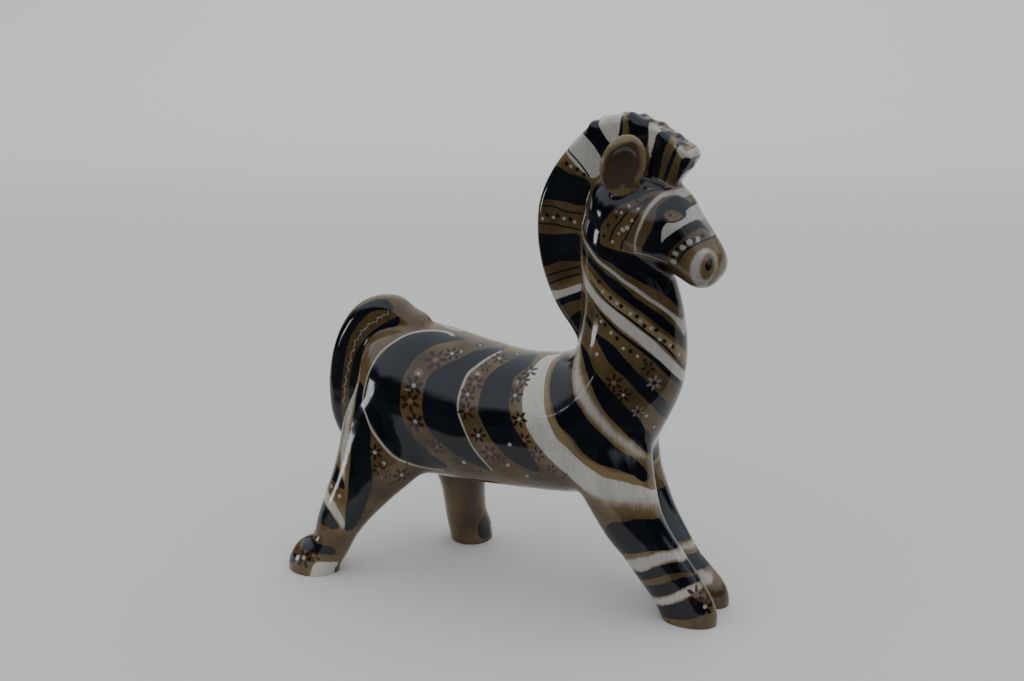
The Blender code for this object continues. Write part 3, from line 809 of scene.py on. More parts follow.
MANE_DARK = [
    [(24, 209), (33.5, 217.5), (38, 212), (34, 203), (27, 198)],
    [(10, 221.5), (21, 226), (29, 230), (36, 233.5), (36, 227), (25, 223), (13, 216)],
    [(-4, 268), (12, 270.5), (33, 272), (34, 254.5), (18, 252), (0, 246.5)],
    [(13, 319), (23.5, 315), (39, 310.5), (37, 294), (18, 295), (-4, 296.5), (0, 307)],
    [(46.5, 354), (31, 343), (47, 325), (54.5, 339)],
    [(59, 359), (62.5, 359), (62.5, 343), (59, 343)],
    [(67.5, 361), (81.5, 359), (82, 346), (80, 334), (79, 318), (70, 318), (70, 334), (67.5, 348)],
    [(87.5, 346.5), (91.5, 349), (97, 346.5), (96.5, 343), (94.5, 339.5), (92.5, 331), (90.5, 322.5),
        (88.5, 314),
        (86, 309), (78, 309), (81.5, 316), (82.5, 324.5), (85, 335.5)],
    [(107, 332.7), (115, 331.5), (108, 322), (101.5, 312.5), (98.5, 310), (103.5, 322)],
]
MANE_WHITE = [
    [(7, 228), (20, 231.5), (29, 235.5), (36, 238), (36, 233.5), (21, 226.5), (9, 221.5)],
    [(32, 343.5), (20, 331), (41, 313), (49, 325.5)],
    [(59.5, 360), (44, 354), (53.5, 339), (59.5, 341)],
    [(81.5, 359), (92, 352.5), (87.5, 347), (86.5, 342), (85, 335.5), (84, 330), (82.5, 336), (82, 345)],
    [(101, 340.5), (104, 342.5), (110, 340), (117, 337), (117, 331), (112.5, 332.7), (109.5, 333.7),
        (106.5, 332.7), (103.5, 336.5)],
]
MANE_HAIRS = [
    [(3.5, 238.5), (19.5, 245), (33, 249.5)],
    [(6.5, 233), (19.5, 239.3), (33, 244.3)],
    [(-3, 277), (12, 278), (20.5, 277), (33, 276)],
    [(-3, 290), (12, 290.5), (21.5, 288), (34, 287.5)],
    [(20, 333), (31.5, 323), (38.5, 314.5)],
]
CREST_CRUMPLE = [(79, 358.5), (86, 355.5), (92, 351.5), (98, 347), (104, 343), (108, 340.5)]
FORELOCK_LINE = [(101.5, 336.5), (97, 325), (92.5, 313)]
CREST_BARE = [(76, 357), (80.5, 355.3), (89.5, 350.6), (97, 345.6), (103, 341.6), (109.5, 337.3),
    (112, 340),
    (105, 347), (97, 352.5), (89, 357.5), (80, 362)]


def zigzag(points, per_span, swing):
    """The line through those points, kinked to each side by turns, unevenly."""
    path = smooth_rows(points, per_span)
    heading = np.gradient(path, axis=0)
    heading /= np.linalg.norm(heading, axis=1)[:, None]
    kinks = np.arange(len(path))
    push = np.where(kinks % 2, 1.0, -1.0) * (0.8 + 0.5 * np.sin(1.7 * kinks)) * swing
    return path + np.stack([-heading[:, 1], heading[:, 0]], 1) * push[:, None]


for shape in MANE_DARK:
    fill(dark, shape, on_mane)
for shape in MANE_WHITE:
    fill(white, shape, on_mane)
for path in MANE_HAIRS:
    stroke(line_across, line_beside, path, HAIR, on_mane)
stroke(line_across, line_beside, FORELOCK_LINE, (1.5, 1.3, 0.9), on_mane)
stroke(line_across, line_beside, zigzag(CREST_CRUMPLE, 3, 2.0), (0.9, 0.9), on_mane)
bare = blank()
fill(bare, CREST_BARE, on_mane)
dark = np.maximum(dark, -bare)
white = np.maximum(white, -bare)

# Ears' paint
# Bare clay, pale all over,
# with painted shade darkening the hollows to a smoky brown.

EAR_BOWL = [(58.5, 325), (59.5, 331.5), (63, 337), (67.5, 340.5), (72.5, 343.5), (77.5, 346),
    (80.5, 344), (82, 339),
    (82.5, 327.5), (79.5, 320), (77.5, 313), (71.5, 311), (66, 310.5), (57, 310), (57, 320.5)]
# painted shade: the hollow of each ear, darkened towards a smoky brown
pooled = blank()
fill(pooled, EAR_BOWL, on_ear)
tan = np.where(on_ear, -3, tan)  # well inside, so that the whole ear is pale

# Tail stripes
# Two long black tongues down the tail
# with a pale zigzag scratched between them.

TAIL_DARK = [
    [(-116, 202), (-122.5, 206.5), (-130, 206.5), (-137, 204), (-144.5, 200), (-150.5, 195), (-156.5, 188),
        (-162, 179.5), (-167, 170.5), (-170.5, 161.5), (-173, 151.5), (-174.5, 138.5), (-174.5, 126),
        (-173, 113), (-169.5, 100.5), (-165, 94.5), (-162.5, 104), (-162.5, 117.5), (-162, 131),
        (-160.5, 144.5),
        (-158.5, 155.5), (-156, 166.5), (-152, 176.5), (-147, 184.5), (-141, 191), (-134.5, 196.5),
        (-126, 199.5), (-118.5, 199.5)],
    [(-110.5, 195.5), (-113.5, 195.5), (-118.5, 192.5), (-126, 188), (-134, 181.5), (-140.5, 174.5),
        (-147, 166.5),
        (-150, 159.5), (-152.5, 150), (-154.5, 141), (-155.5, 132), (-156, 122), (-153, 128), (-148.5, 137),
        (-142, 147), (-136, 154), (-130, 161), (-125.5, 168), (-121.5, 175), (-119, 182), (-115, 187),
        (-110.5, 191.5)],
]
TAIL_ZIGZAG = [(-119.5, 199), (-126, 194), (-132.5, 189.5), (-138, 185.5), (-142.5, 180.5), (-147, 174.5),
    (-150, 167.5), (-152.5, 161), (-154, 155), (-156, 149), (-157.5, 142.5), (-158.5, 137), (-159.5, 130.5),
    (-160, 120)]
TAIL_HAIR = [(-107, 182.5), (-115, 176), (-124, 166.5)]

for shape in TAIL_DARK:
    fill(dark, shape, on_tail)
stroke(pale_across, pale_beside, zigzag(TAIL_ZIGZAG, 3, 1.3), (0.22, 0.22), on_tail)
stroke(line_across, line_beside, TAIL_HAIR, HAIR, on_tail)

# Leg stripes
# The hind legs carry stripes on their outer faces only, and the left one a black toe.
# The fore legs are ringed right round, with the white dragged down over the black by a half-dry brush.

HIND_DARK = [
    [(-132, 128), (-126.5, 123.5), (-123.5, 116), (-120.5, 109.5), (-116.5, 101.5), (-114.5, 92.5),
        (-113, 85),
        (-113.5, 74.5), (-117.5, 64), (-122, 53), (-127, 44), (-131.5, 38), (-135.5, 39), (-134, 47),
        (-133.5, 55.5),
        (-132, 63.5), (-131.5, 73), (-131.5, 82.5), (-131.5, 92), (-133, 100.5), (-133.5, 109.5),
        (-134, 120)],
    [(-150, 87), (-140, 81.5), (-135.5, 76), (-135, 71.5), (-138.5, 72), (-145.5, 74.5), (-155, 75),
        (-155, 81)],
    [(-160, 57), (-150, 55), (-144.5, 50), (-139.5, 43.5), (-139.5, 40.5), (-143.5, 39), (-151, 41),
        (-162, 42),
        (-164, 47), (-162, 53)],
    [(-172, 28), (-162, 27.5), (-153.5, 26), (-145.5, 25), (-142.5, 21.5), (-144, 18), (-147.5, 18.5),
        (-155, 19),
        (-161.5, 19.5), (-168, 20), (-171, 23.5)],
    [(-187, 10), (-183, 14), (-177, 15), (-172.5, 13.5), (-173, 10.5), (-180.5, 6)],
]
HIND_WHITE = [
    [(-139.5, 129), (-135, 127.5), (-135, 118), (-134.5, 109), (-135, 100), (-135.5, 92.5),
        (-135, 83.5), (-134.5, 77),
        (-137, 78), (-139.5, 82.5), (-142, 87.5), (-143.5, 92.5), (-143, 103), (-143.5, 114),
        (-142.5, 124.5)],
    [(-162, 61), (-154, 66.5), (-143, 61.5), (-138, 55), (-134.5, 49.5), (-134.5, 43), (-136.5, 39),
        (-138, 41.5),
        (-141.5, 47.5), (-146, 52.5), (-154, 57)],
    [(-155, 12.5), (-148, 12), (-143.5, 9.5), (-144, -2), (-148.5, -3), (-155.5, -3), (-161, -3),
        (-159.5, 5.5), (-157.5, 10.5)],
]
FORE_DARK = [
    [(66, 66), (72, 76), (78, 78), (84, 79), (90.5, 81), (99, 80.5), (108, 77), (118, 70), (121, 58),
        (116, 57), (107, 58),
        (99, 57.5), (90.5, 55), (81.5, 52.5), (72, 52), (66, 57)],
    [(84, 37), (91, 38), (97, 41), (104, 45.5), (113.5, 48.5), (121, 48), (129, 44), (128, 40),
        (120.5, 41.5),
        (112.5, 40.5), (106, 37.5), (98, 34), (86, 29), (80, 32)],
    [(88, 23), (96.5, 28), (107.5, 32), (116, 36), (123.5, 38), (131, 37), (133, 33.5), (128, 33),
        (121.5, 29.5),
        (114.5, 25), (107, 21.5), (98, 18.5), (88, 17)],
    [(97, 6), (98, 10), (106, 13), (116.5, 17.5), (123.5, 21), (130, 23.5), (139, 16), (137.5, 12),
        (130, 8), (122, 6), (112, 4.5), (103, 4)],
]
FORE_WHITE = [
    [(80, 45), (92, 52), (101, 55), (107, 57.5), (118, 56), (122, 50), (120.5, 47.5), (117.5, 49),
        (113.5, 49.5), (107.5, 47.5),
        (103.5, 45.5), (99, 42), (94.5, 39.5), (88.5, 38.5), (80, 38)],
    [(92, 14), (100, 18), (110, 22), (118, 27), (124.5, 31), (130, 33.5), (134, 30), (129.5, 25.5),
        (122, 21),
        (114.5, 16.5), (106, 13), (98, 10.5), (91, 10)],
]

LEFT_FORE_DARK = [
    [(60, 76), (72, 80), (84, 82), (98, 82), (110, 78), (122, 62), (128, 50), (120, 46), (108, 47),
        (96, 44), (84, 40), (74, 44), (66, 58)],
    [(86, 20), (88, 30), (98, 34), (110, 37), (122, 38), (134, 37), (138, 30), (128, 28), (114, 25),
        (100, 21), (90, 17)],
]
LEFT_FORE_WHITE = [(78, 33), (84, 39), (96, 42.5), (108, 45), (120, 45), (130, 44), (132, 39.5),
    (120, 40.5), (108, 39.5), (96, 36.5), (86, 32)]
LEFT_HIND_TOE = (-67, 13)  # middle of its black patch, x and height
LEFT_HIND_TOE_SIZE = (5.5, 9.5)
BETWEEN_FORELEGS = (78, 108)  # heights, where no white reaches the left leg's inner side
LEFT_TOE_WHITE = [(124, 24), (131, 28), (138, 26), (140, 20), (134, 17), (127, 19)]
hind_dark = blank()
for shape in HIND_DARK:
    fill(hind_dark, shape, on_body)
outer_face = on_body & (inside_hind < 0)
for shape, drag in zip(HIND_WHITE, (2.5, 1.6, 0.8)):
    fill(brushed, shape, outer_face, drag)
dark = np.minimum(dark, np.maximum(hind_dark, inside_hind))
for shape in FORE_DARK:
    fill(dark, shape, on_body & ~left)
for shape in FORE_WHITE:
    fill(brushed, shape, on_body & ~left, 2.0)
for shape in LEFT_FORE_DARK:
    fill(dark, shape, on_body & left)
fill(brushed, LEFT_FORE_WHITE, on_body & left, 2.0)
low_edge, high_edge = BETWEEN_FORELEGS
between_legs = on_body & left & (y < 26) & (x > 60) & (z > low_edge) & (z < high_edge)
brushed = np.where(between_legs, FAR, brushed)
fill(brushed, LEFT_TOE_WHITE, on_body & left, 2.0)
toe_x, toe_z = LEFT_HIND_TOE
toe_length, toe_height = LEFT_HIND_TOE_SIZE
toe = np.hypot((x - toe_x) / toe_length, (z - toe_z) / toe_height) * 6 - 6
on_toe = left & on_body & (x < -50) & (y < 52) & (z < 26)
dark = np.where(on_toe, np.minimum(dark, toe), dark)

# Flowers, dots and pearls
# Small brush marks on the bare ochre: six-petalled black flowers with a white heart, dark red ones,
# white pearls and black dots in rows.

INK = (0.006, 0.006, 0.008)
SLIP = (0.42, 0.39, 0.35)
RUST = (0.036, 0.009, 0.006)
ROSE = (0.20, 0.13, 0.11)
FROST = (0.24, 0.20, 0.19)

# petals, petal colour, heart colour, heart's share of the radius
MARK_KINDS = {
    "daisy": (6, INK, SLIP, 0.2),
    "bare daisy": (5, INK, INK, 0.12),
    "rust flower": (6, RUST, ROSE, 0.22),
    "pearl": (0, SLIP, SLIP, 0.5),
    "dot": (0, INK, INK, 0.5),
    "blush": (0, ROSE, SLIP, 0.35),
    "petals": (2, INK, RUST, 0.16),
    "blot": (0, RUST, RUST, 0.5),
    "frosted flower": (6, FROST, INK, 0.25),
}
MARK_MISS = 6.0  # a mark with no skin that near its place is left out
SAME_SPOT = 0.9  # among points that near to each other in the chart, the outermost is taken
MARK_TURN = 1.7  # each flower is turned that much further
MARK_EDGE = 0.45  # faces that far outside a mark's radius, and a little more, can carry it
MARK_MARGIN = 1.2

# kind, where, radius, places in the chart
MARKS = [
    ("blush", on_body, 3.6, [(-35.5, 149), (-4, 147), (-80, 141)]),
    ("daisy", on_body, 6.6, [(-59.5, 164), (-26.5, 167.5), (-39.5, 130.5), (-28.5, 104), (0, 159),
        (-4, 136),
        (1, 118), (-111.5, 94), (-92.5, 83.5)]),
    ("daisy", on_body, 8.0, [(-79.5, 105), (-82, 131)]),
    ("daisy", on_body, 4.4, [(-46, 177), (-16, 175)]),
    ("rust flower", on_body, 9.0, [(-70, 155.5), (-84.5, 117)]),
    ("rust flower", on_body, 7.5, [(-38.5, 117.5), (-20, 99), (-36, 142)]),
    ("rust flower", on_body, 6.0, [(-62.5, 98), (17, 101), (-108, 87), (8, 107), (-2, 149)]),
    ("pearl", on_body, 1.5, [(-42.5, 93.5), (-18.5, 176), (-7.5, 95.5), (6, 92), (-103.5, 90.5), (-56, 167),
        (-3, 103)]),
    ("bare daisy", on_body, 4.6, [(-33, 157), (26.5, 97), (-126, 106), (-119, 99), (-103, 84), (-12, 97.5),
        (-50, 93.5), (-75, 97), (-107, 188), (-31, 86), (14, 92)]),
    ("petals", on_body, 4.0, [(-122, 112), (-71, 98.5), (-88, 88), (-98, 78), (-88, 98), (36, 95),
        (-45, 104),
        (-101, 190)]),
    ("dot", on_body, 1.35, [(80.5, 304), (74, 299), (67.5, 292.5), (60, 286), (57, 279)]),
    ("pearl", on_body, 1.1, [(76.5, 301), (70.5, 295.5), (82, 299), (78.5, 292), (69, 280), (65, 274.5)]),
    ("pearl", on_body, 1.7, [(75, 286.5), (71.5, 283)]),
    ("dot", on_body, 1.5, [(52.5, 221.5), (60.5, 217), (71, 204), (80.5, 188.5), (90, 179)]),
    ("pearl", on_body, 1.2, [(56.5, 219), (65, 210), (76.5, 190.5), (85, 183)]),
    ("bare daisy", on_body, 5.5, [(93, 172.5)]),
    ("frosted flower", on_body, 6.0, [(97, 163)]),
    ("pearl", on_body, 1.3, [(57, 240), (67.5, 233), (80, 226.5), (86.5, 221.5), (93.5, 216.5), (99, 207),
        (104, 199), (108.5, 191.5)]),
    ("dot", on_body, 1.5, [(53.5, 244.5), (63.5, 237), (72.5, 231.5), (83, 225.5), (88.5, 219), (96, 215),
        (101, 203.5), (106.5, 197)]),
    ("pearl", on_body, 1.3, [(50.5, 188), (80.5, 148.5), (91.5, 137.5), (94, 132.5), (55, 178)]),
    ("rust flower", on_body, 7.0, [(71, 156.5)]),
    ("daisy", on_body, 5.5, [(78.5, 148)]),
    ("frosted flower", on_body, 5.0, [(87, 139)]),
    ("pearl", on_body, 2.1, [(105.5, 263), (108.7, 269), (112.5, 274.3), (117, 278), (121, 280.5)]),
    ("dot", on_body, 1.5, [(106.5, 266.5), (110.5, 272.3), (115, 277), (119.3, 280), (123.3, 281.5)]),
    ("dot", on_body, 1.1, [(102.8, 295.8)]),
    ("dot", on_mane, 1.6, [(7, 285), (16, 285), (26, 284), (21.5, 322), (29, 318.5), (34.5, 314.5)]),
    ("pearl", on_mane, 1.2, [(3, 281), (12, 282.5), (20.5, 282.5), (28, 282), (25, 319.5)]),
    ("blot", on_mane, 1.7, [(82, 357.5), (90, 351.5), (95.5, 348.5), (102, 343.5)]),
    ("petals", on_mane, 3.0, [(63.5, 359), (72, 359)]),
    ("pearl", on_body, 1.5, [(-148.5, 71), (-138.5, 65.5)]),
    ("dot", on_body, 1.6, [(-144.5, 69)]),
    ("daisy", on_body, 8.5, [(-166, 14.5)]),
    ("rust flower", on_body, 6.0, [(-158, 18)]),
    ("daisy", on_body & ~left, 7.0, [(138, 18)]),
    ("rust flower", on_body & ~left, 8.0, [(132.5, 26)]),
    ("rust flower", on_body & left, 7.0, [(137, 21)]),
    ("blush", on_body & left, 3.6, [(115, 50), (130, 37)]),
    ("petals", on_body & left, 4.5, [(92, 96), (97, 76), (104, 92)]),
    ("pearl", on_body & left, 1.6, [(95, 88)]),
]

total = len(zebra.data.polygons)
corners = read(zebra.data.loops, "vertex_index", np.int32)
sizes = read(zebra.data.polygons, "loop_total", np.int32)
middles = read(zebra.data.polygons, "center", np.float32, 3)
normals = read(zebra.data.vertices, "normal", np.float32, 3)
face_gap = np.full(total, 1e9)
face_mark = np.full(total, -1)
placed = []
for kind, where, radius, places in MARKS:
    for place in places:
        for side in (False, True):
            candidates = np.flatnonzero(where & (left == side) & (inside_hind < 0))
            gaps = np.hypot(*(chart[candidates] - place).T)
            if not len(gaps) or gaps.min() > MARK_MISS:
                continue
            close = candidates[gaps < gaps.min() + SAME_SPOT]
            at = close[np.argmax(np.abs(y[close]))]
            centre = skin[at]
            normal = Vector(normals[at])
            up = Vector((0, 0, 1)) - normal * normal.z
            up = up.normalized() if up.length > 0.05 else Vector((1, 0, 0))
            aside = up.cross(normal)
            gap = np.linalg.norm(middles - centre, axis=1) - radius
            mine = (gap < MARK_EDGE * radius + MARK_MARGIN) & (gap < face_gap)
            face_gap[mine] = gap[mine]
            face_mark[mine] = len(placed)
            placed.append((centre, np.array(aside), np.array(up), radius, kind))
corner_face = np.repeat(np.arange(total), sizes)
corner_mark = face_mark[corner_face]
mark_place = np.full((len(corners), 3), 9.0)
mark_place[:, 2] = 1.0
petal_paint = np.zeros((len(corners), 4))
heart_paint = np.zeros((len(corners), 4))
for number, (centre, aside, up, radius, kind) in enumerate(placed):
    chosen = np.flatnonzero(corner_mark == number)
    offset = skin[corners[chosen]] - centre
    mark_place[chosen, 0] = offset @ aside / radius
    mark_place[chosen, 1] = offset @ up / radius
    mark_place[chosen, 2] = number * MARK_TURN
    petals, petal_colour, heart_colour, heart = MARK_KINDS[kind]
    petal_paint[chosen] = (*petal_colour, petals / 10)
    heart_paint[chosen] = (*heart_colour, heart)

# Glaze
# Lead-bright clear glaze over underglaze painting on a buff body: wet-looking, with soft brush edges,
# thin places in the white slip, and slow waves in its surface from being dipped by hand.


def linear(code):
    """sRGB hex to the linear colour that shaders take."""
    parts = [int(code[i : i + 2], 16) / 255 for i in (1, 3, 5)]
    return (*[v / 12.92 if v <= 0.04045 else ((v + 0.055) / 1.055) ** 2.4 for v in parts], 1.0)


GROUND = "#6b5636"
GROUND_DEEP = "#4a3a24"
GROUND_PALE = "#8f7a55"
# painted shade for the ear hollows
GROUND_SHADED = "#3a3029"
BLACK = "#0e1218"
BLACK_THIN = "#262a30"
WHITE = "#cfcabe"
WHITE_THIN = "#8a8a84"

MILLIMETRE = 0.001


def laid_on(label, kind, domain, field, values):
    """Keeps a layer of the painting on the skin, where the glaze reads it."""
    attribute = zebra.data.attributes.new(label, kind, domain)
    attribute.data.foreach_set(field, values.astype(np.float32).ravel())


layers = {"dark": dark, "tan": tan, "white": white, "brushed": brushed, "line_across": line_across}
layers.update({"feathering": feathering, "pooled": pooled})
layers.update({"line_beside": line_beside, "pale_across": pale_across, "pale_beside": pale_beside})
for label, values in layers.items():
    laid_on(label, "FLOAT", "POINT", "value", values)
laid_on("mark_place", "FLOAT_VECTOR", "CORNER", "vector", mark_place)
laid_on("petal_paint", "FLOAT_COLOR", "CORNER", "color", petal_paint)
laid_on("heart_paint", "FLOAT_COLOR", "CORNER", "color", heart_paint)

glazed_faience.use_nodes = True
nodes = glazed_faience.node_tree.nodes
links = glazed_faience.node_tree.links
shader = nodes["Principled BSDF"]


def add(kind, inputs=None, **settings):
    """Adds a node with its settings, values and links."""
    node = nodes.new(kind)
    for key, value in settings.items():
        setattr(node, key, value)
    for key, value in (inputs or {}).items():
        if isinstance(value, bpy.types.NodeSocket):
            links.new(value, node.inputs[key])
        else:
            node.inputs[key].default_value = value
    return node


def layer(label, output="Fac"):
    """A layer of the painting, as it lies on the skin."""
    return add("ShaderNodeAttribute", attribute_name=label).outputs[output]


def figure(operation, a, b=0.0, c=0.0):
    """Arithmetic on layers and numbers."""
    return add("ShaderNodeMath", {0: a, 1: b, 2: c}, operation=operation).outputs[0]


def stepped(value, low, high, from_value=1.0, to_value=0.0):
    """1 below low, 0 above high."""
    node = add("ShaderNodeMapRange", {"Value": value, "From Min": low, "From Max": high}, clamp=True)
    node.inputs["To Min"].default_value = from_value
    node.inputs["To Max"].default_value = to_value
    return node.outputs["Result"]


def painted(share, under, over):
    """One colour brushed over another, where the share is 1."""
    node = add("ShaderNodeMix", {"Factor": share}, data_type="RGBA")
    for key, value in ((6, under), (7, over)):
        if isinstance(value, bpy.types.NodeSocket):
            links.new(value, node.inputs[key])
        else:
            node.inputs[key].default_value = value
    return node.outputs[2]


place = add("ShaderNodeTexCoord").outputs["Object"]
cloudy = add("ShaderNodeTexNoise", {"Vector": place, "Scale": 38.0, "Detail": 3.0}).outputs["Fac"]
mottle = add("ShaderNodeTexNoise", {"Vector": place, "Scale": 260.0, "Detail": 3.0}).outputs["Fac"]
strokes = add("ShaderNodeMapping", {"Vector": place, "Scale": (420.0, 420.0, 50.0)}).outputs[0]
streak = add("ShaderNodeTexNoise", {"Vector": strokes, "Scale": 1.0, "Detail": 3.0}).outputs["Fac"]
wobble = figure("MULTIPLY_ADD", mottle, 0.9, -0.45)

brown = painted(stepped(cloudy, 0.35, 0.65, 0.0, 1.0), linear(GROUND_DEEP), linear(GROUND))
brown = painted(stepped(streak, 0.5, 0.8, 0.0, 0.14), brown, linear(GROUND_PALE))
near_white = figure("MINIMUM", layer("white"), layer("brushed"))
brown = painted(stepped(near_white, 0.0, 7.0, 0.45, 0.0), brown, linear(GROUND_PALE))
brown = painted(stepped(layer("tan"), -0.5, 0.6, 0.8, 0.0), brown, linear(GROUND_PALE))
# painted shade in the ear hollows
brown = painted(stepped(layer("pooled"), -1.5, 0.8, 0.8, 0.0), brown, linear(GROUND_SHADED))
black = painted(stepped(cloudy, 0.5, 0.75, 0.0, 0.5), linear(BLACK), linear(BLACK_THIN))
slip = painted(stepped(streak, 0.45, 0.75, 0.0, 0.28), linear(WHITE), linear(WHITE_THIN))
slip = painted(stepped(cloudy, 0.5, 0.75, 0.0, 0.3), slip, linear(WHITE_THIN))

dark_edge = figure("ADD", layer("dark"), wobble)
colour = painted(stepped(dark_edge, -0.2, 0.2), brown, black)
drag = layer("feathering")
ragged = figure("MULTIPLY_ADD", streak, 1.1, -0.45)
brushed_edge = figure("MULTIPLY_ADD", ragged, drag, layer("brushed"))
softness = figure("DIVIDE", brushed_edge, figure("MAXIMUM", drag, 0.4))
# Dragged white covers less: partly thin dry-brushed slip, partly painted shade greying the white low on the
# forelegs.
cover_and_shade = stepped(drag, 0.5, 3.0, 0.95, 0.66)
colour = painted(figure("MULTIPLY", stepped(softness, -0.85, 0.25), cover_and_shade), colour, slip)
white_edge = figure("ADD", layer("white"), wobble)
colour = painted(figure("MULTIPLY", stepped(white_edge, -0.4, 0.3), 0.84), colour, slip)
line_reach = stepped(layer("line_beside"), 0.5, 0.9)
line_core = stepped(figure("ABSOLUTE", layer("line_across")), 0.75, 1.25)
colour = painted(figure("MULTIPLY", line_reach, line_core), colour, black)
pale_reach = stepped(layer("pale_beside"), 0.5, 0.9)
pale_core = stepped(figure("ABSOLUTE", layer("pale_across")), 0.7, 1.25)
colour = painted(figure("MULTIPLY", figure("MULTIPLY", pale_reach, pale_core), 0.64), colour, slip)

spot = add("ShaderNodeSeparateXYZ", {0: layer("mark_place", "Vector")}).outputs
far_out = figure("SQRT", figure("ADD", figure("POWER", spot[0], 2.0), figure("POWER", spot[1], 2.0)))
angle = figure("ARCTAN2", spot[1], spot[0])
count = figure("MULTIPLY", layer("petal_paint", "Alpha"), 10.0)
is_dot = stepped(count, 0.3, 0.7)
turns = figure("MULTIPLY_ADD", figure("MULTIPLY", angle, count), 1 / (2 * math.pi), spot[2])
between = figure("SUBTRACT", figure("FRACT", turns), 0.5)
off_axis = figure("DIVIDE", figure("MULTIPLY", between, 2 * math.pi), figure("MAXIMUM", count, 1.0))
along = figure("MULTIPLY", far_out, figure("COSINE", off_axis))
across = figure("MULTIPLY", far_out, figure("SINE", off_axis))
along = figure("DIVIDE", figure("SUBTRACT", along, 0.62), 0.36)
across = figure("DIVIDE", across, 0.17)
petal_at = figure("ADD", figure("MULTIPLY", along, along), figure("MULTIPLY", across, across))
dot_at = figure("MULTIPLY", far_out, far_out)
blob = figure("MULTIPLY_ADD", figure("SUBTRACT", dot_at, petal_at), is_dot, petal_at)
blob = figure("ADD", blob, figure("MULTIPLY_ADD", mottle, 0.9, -0.45))
petal_share = figure("MULTIPLY", stepped(blob, 0.85, 1.2), stepped(far_out, 1.2, 1.3))
colour = painted(figure("MULTIPLY", petal_share, 0.9), colour, layer("petal_paint", "Color"))
rough_out = figure("ADD", far_out, figure("MULTIPLY_ADD", mottle, 0.16, -0.08))
heart_share = stepped(figure("SUBTRACT", rough_out, layer("heart_paint", "Alpha")), -0.06, 0.06)
colour = painted(figure("MULTIPLY", heart_share, 0.85), colour, layer("heart_paint", "Color"))
links.new(colour, shader.inputs["Base Color"])

waves = add("ShaderNodeTexNoise", {"Vector": place, "Scale": 45.0, "Detail": 1.0}).outputs["Fac"]
surface = add("ShaderNodeBump", {"Height": waves, "Strength": 0.35, "Distance": 0.002})
links.new(surface.outputs[0], shader.inputs["Normal"])
links.new(stepped(mottle, 0.3, 0.7, 0.07, 0.13), shader.inputs["Roughness"])
shader.inputs["IOR"].default_value = 1.52

low = skin.min(0)
high = skin.max(0)
cast_low, cast_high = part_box("zebra")
drawn_middle = Vector(((low[0] + high[0]) / 2, (low[1] + high[1]) / 2, 0))
cast_middle = Vector(((cast_low.x + cast_high.x) / 2, (cast_low.y + cast_high.y) / 2, 0))
to_metres = Matrix.Scale(MILLIMETRE, 4)
zebra.data.transform(Matrix.Translation(cast_middle) @ to_metres @ Matrix.Translation(-drawn_middle))
zebra.data.materials.clear()
zebra.data.materials.append(glazed_faience)
zebra.data.shade_smooth()
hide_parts("zebra")
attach(zebra, "root")

# Floor
# A pale studio floor, its near edge just below the picture, running back into a pale backdrop,
# and the dim ground of the studio under it, which gives the black glaze its dark depth.
# The floor ends just outside the picture on the left, so that the tail mirrors the dark ground too.

HEADING = math.radians(25)  # of the camera


def matt(name, code):
    """A dull surface of one colour."""
    material = bpy.data.materials.new(name)
    material.use_nodes = True
    surface = material.node_tree.nodes["Principled BSDF"]
    surface.inputs["Base Color"].default_value = linear(code)
    surface.inputs["Roughness"].default_value = 0.85
    return material


def swept(name, profile, left, spread, right, material):
    """A sheet of floor with that side profile, square to the camera's heading, its left side splayed."""
    turn = Matrix.Rotation(HEADING, 3, "Z")
    points = []
    for along, height in profile:
        points.append(turn @ Vector((-left - spread * (along + 0.2), along, height)))
        points.append(turn @ Vector((right, along, height)))
    faces = [(2 * i, 2 * i + 1, 2 * i + 3, 2 * i + 2) for i in range(len(profile) - 1)]
    mesh = bpy.data.meshes.new(name)
    mesh.from_pydata(points, [], faces)
    mesh.shade_smooth()
    mesh.materials.append(material)
    sheet = bpy.data.objects.new(name, mesh)
    bpy.context.scene.collection.objects.link(sheet)


quarter = np.linspace(0, math.pi / 2, 16)
edge = [(-0.19 - 0.02 * math.cos(a), -0.02 + 0.02 * math.sin(a)) for a in quarter]
sweep = [(1.8 + 0.8 * math.sin(a), 0.8 - 0.8 * math.cos(a)) for a in quarter]
pale_floor = matt("pale_floor", "#e4dfd8")
swept("floor", [(-0.21, -0.7), *edge, *sweep, (2.6, 1.5)], 0.44, 0.33, 5.0, pale_floor)
swept("ground", [(-6, -0.7), (2.6, -0.7)], 6.0, 0.0, 6.0, matt("dim_studio_ground", "#3a3a3a"))

# Light
# Plain soft light: a broad even sky from above a dim horizon, a lamp for the backdrop,
# and two small low soft boxes, at the left and in front, that give the glaze its sharp highlights.

SKY = "#c6ccd4"
SKY_POWER = 1.6


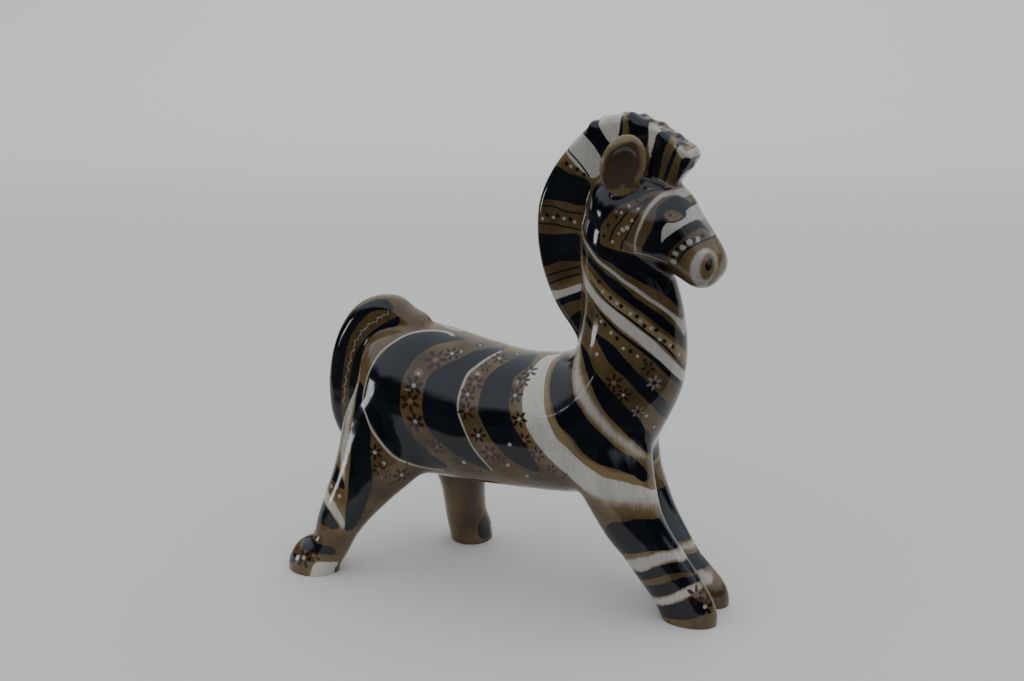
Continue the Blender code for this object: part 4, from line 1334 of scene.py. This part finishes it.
def soft_light(name, place, aim, size, power):
    """A rectangle of light that the camera doesn't see itself."""
    lamp = bpy.data.lights.new(name, "AREA")
    lamp.shape = "RECTANGLE"
    lamp.size, lamp.size_y = size
    lamp.energy = power
    obj = bpy.data.objects.new(name, lamp)
    obj.location = place
    obj.rotation_euler = (Vector(aim) - Vector(place)).to_track_quat("-Z", "Y").to_euler()
    obj.visible_camera = False
    bpy.context.scene.collection.objects.link(obj)


soft_light("left soft box", (-2.1, -1.05, 0.1), (-0.1, 0, 0.12), (0.5, 0.34), 4.0)
soft_light("front soft box", (-1.1, -1.95, 0.62), (0, 0, 0.2), (0.05, 0.05), 0.1)
soft_light("backdrop lamp", (-0.7, 1.5, 1.5), (-1.15, 2.7, 1.0), (2.5, 0.6), 14.0)
world = bpy.data.worlds.new("studio")
world.use_nodes = True
air = world.node_tree
upward = air.nodes.new("ShaderNodeSeparateXYZ")
air.links.new(air.nodes.new("ShaderNodeTexCoord").outputs["Object"], upward.inputs[0])
rise = air.nodes.new("ShaderNodeMapRange")
rise.inputs["From Min"].default_value = 0.45
rise.inputs["From Max"].default_value = 0.6
rise.inputs["To Min"].default_value = 0.03
rise.inputs["To Max"].default_value = SKY_POWER
drift = air.nodes.new("ShaderNodeTexNoise")
drift.inputs["Scale"].default_value = 3.5
drift.inputs["Detail"].default_value = 2.0
uneven = air.nodes.new("ShaderNodeMath")
uneven.operation = "MULTIPLY_ADD"
uneven.inputs[1].default_value = 0.5
air.links.new(drift.outputs["Fac"], uneven.inputs[0])
air.links.new(upward.outputs[2], uneven.inputs[2])
air.links.new(uneven.outputs[0], rise.inputs["Value"])
background = air.nodes["Background"]
background.inputs["Color"].default_value = linear(SKY)
air.links.new(rise.outputs[0], background.inputs["Strength"])
bpy.context.scene.world = world

# Camera
# At the photograph's own angle, a little above and in front of the animal,
# with a longish lens that keeps the legs from spreading.

lens = bpy.data.cameras.new("camera")
lens.lens = 60
lens.sensor_width = 36
camera = bpy.data.objects.new("camera", lens)
camera.location = (0.4994, -1.0769, 0.549)
camera.rotation_euler = (math.radians(73), 0, HEADING)
bpy.context.scene.collection.objects.link(camera)
bpy.context.scene.camera = camera
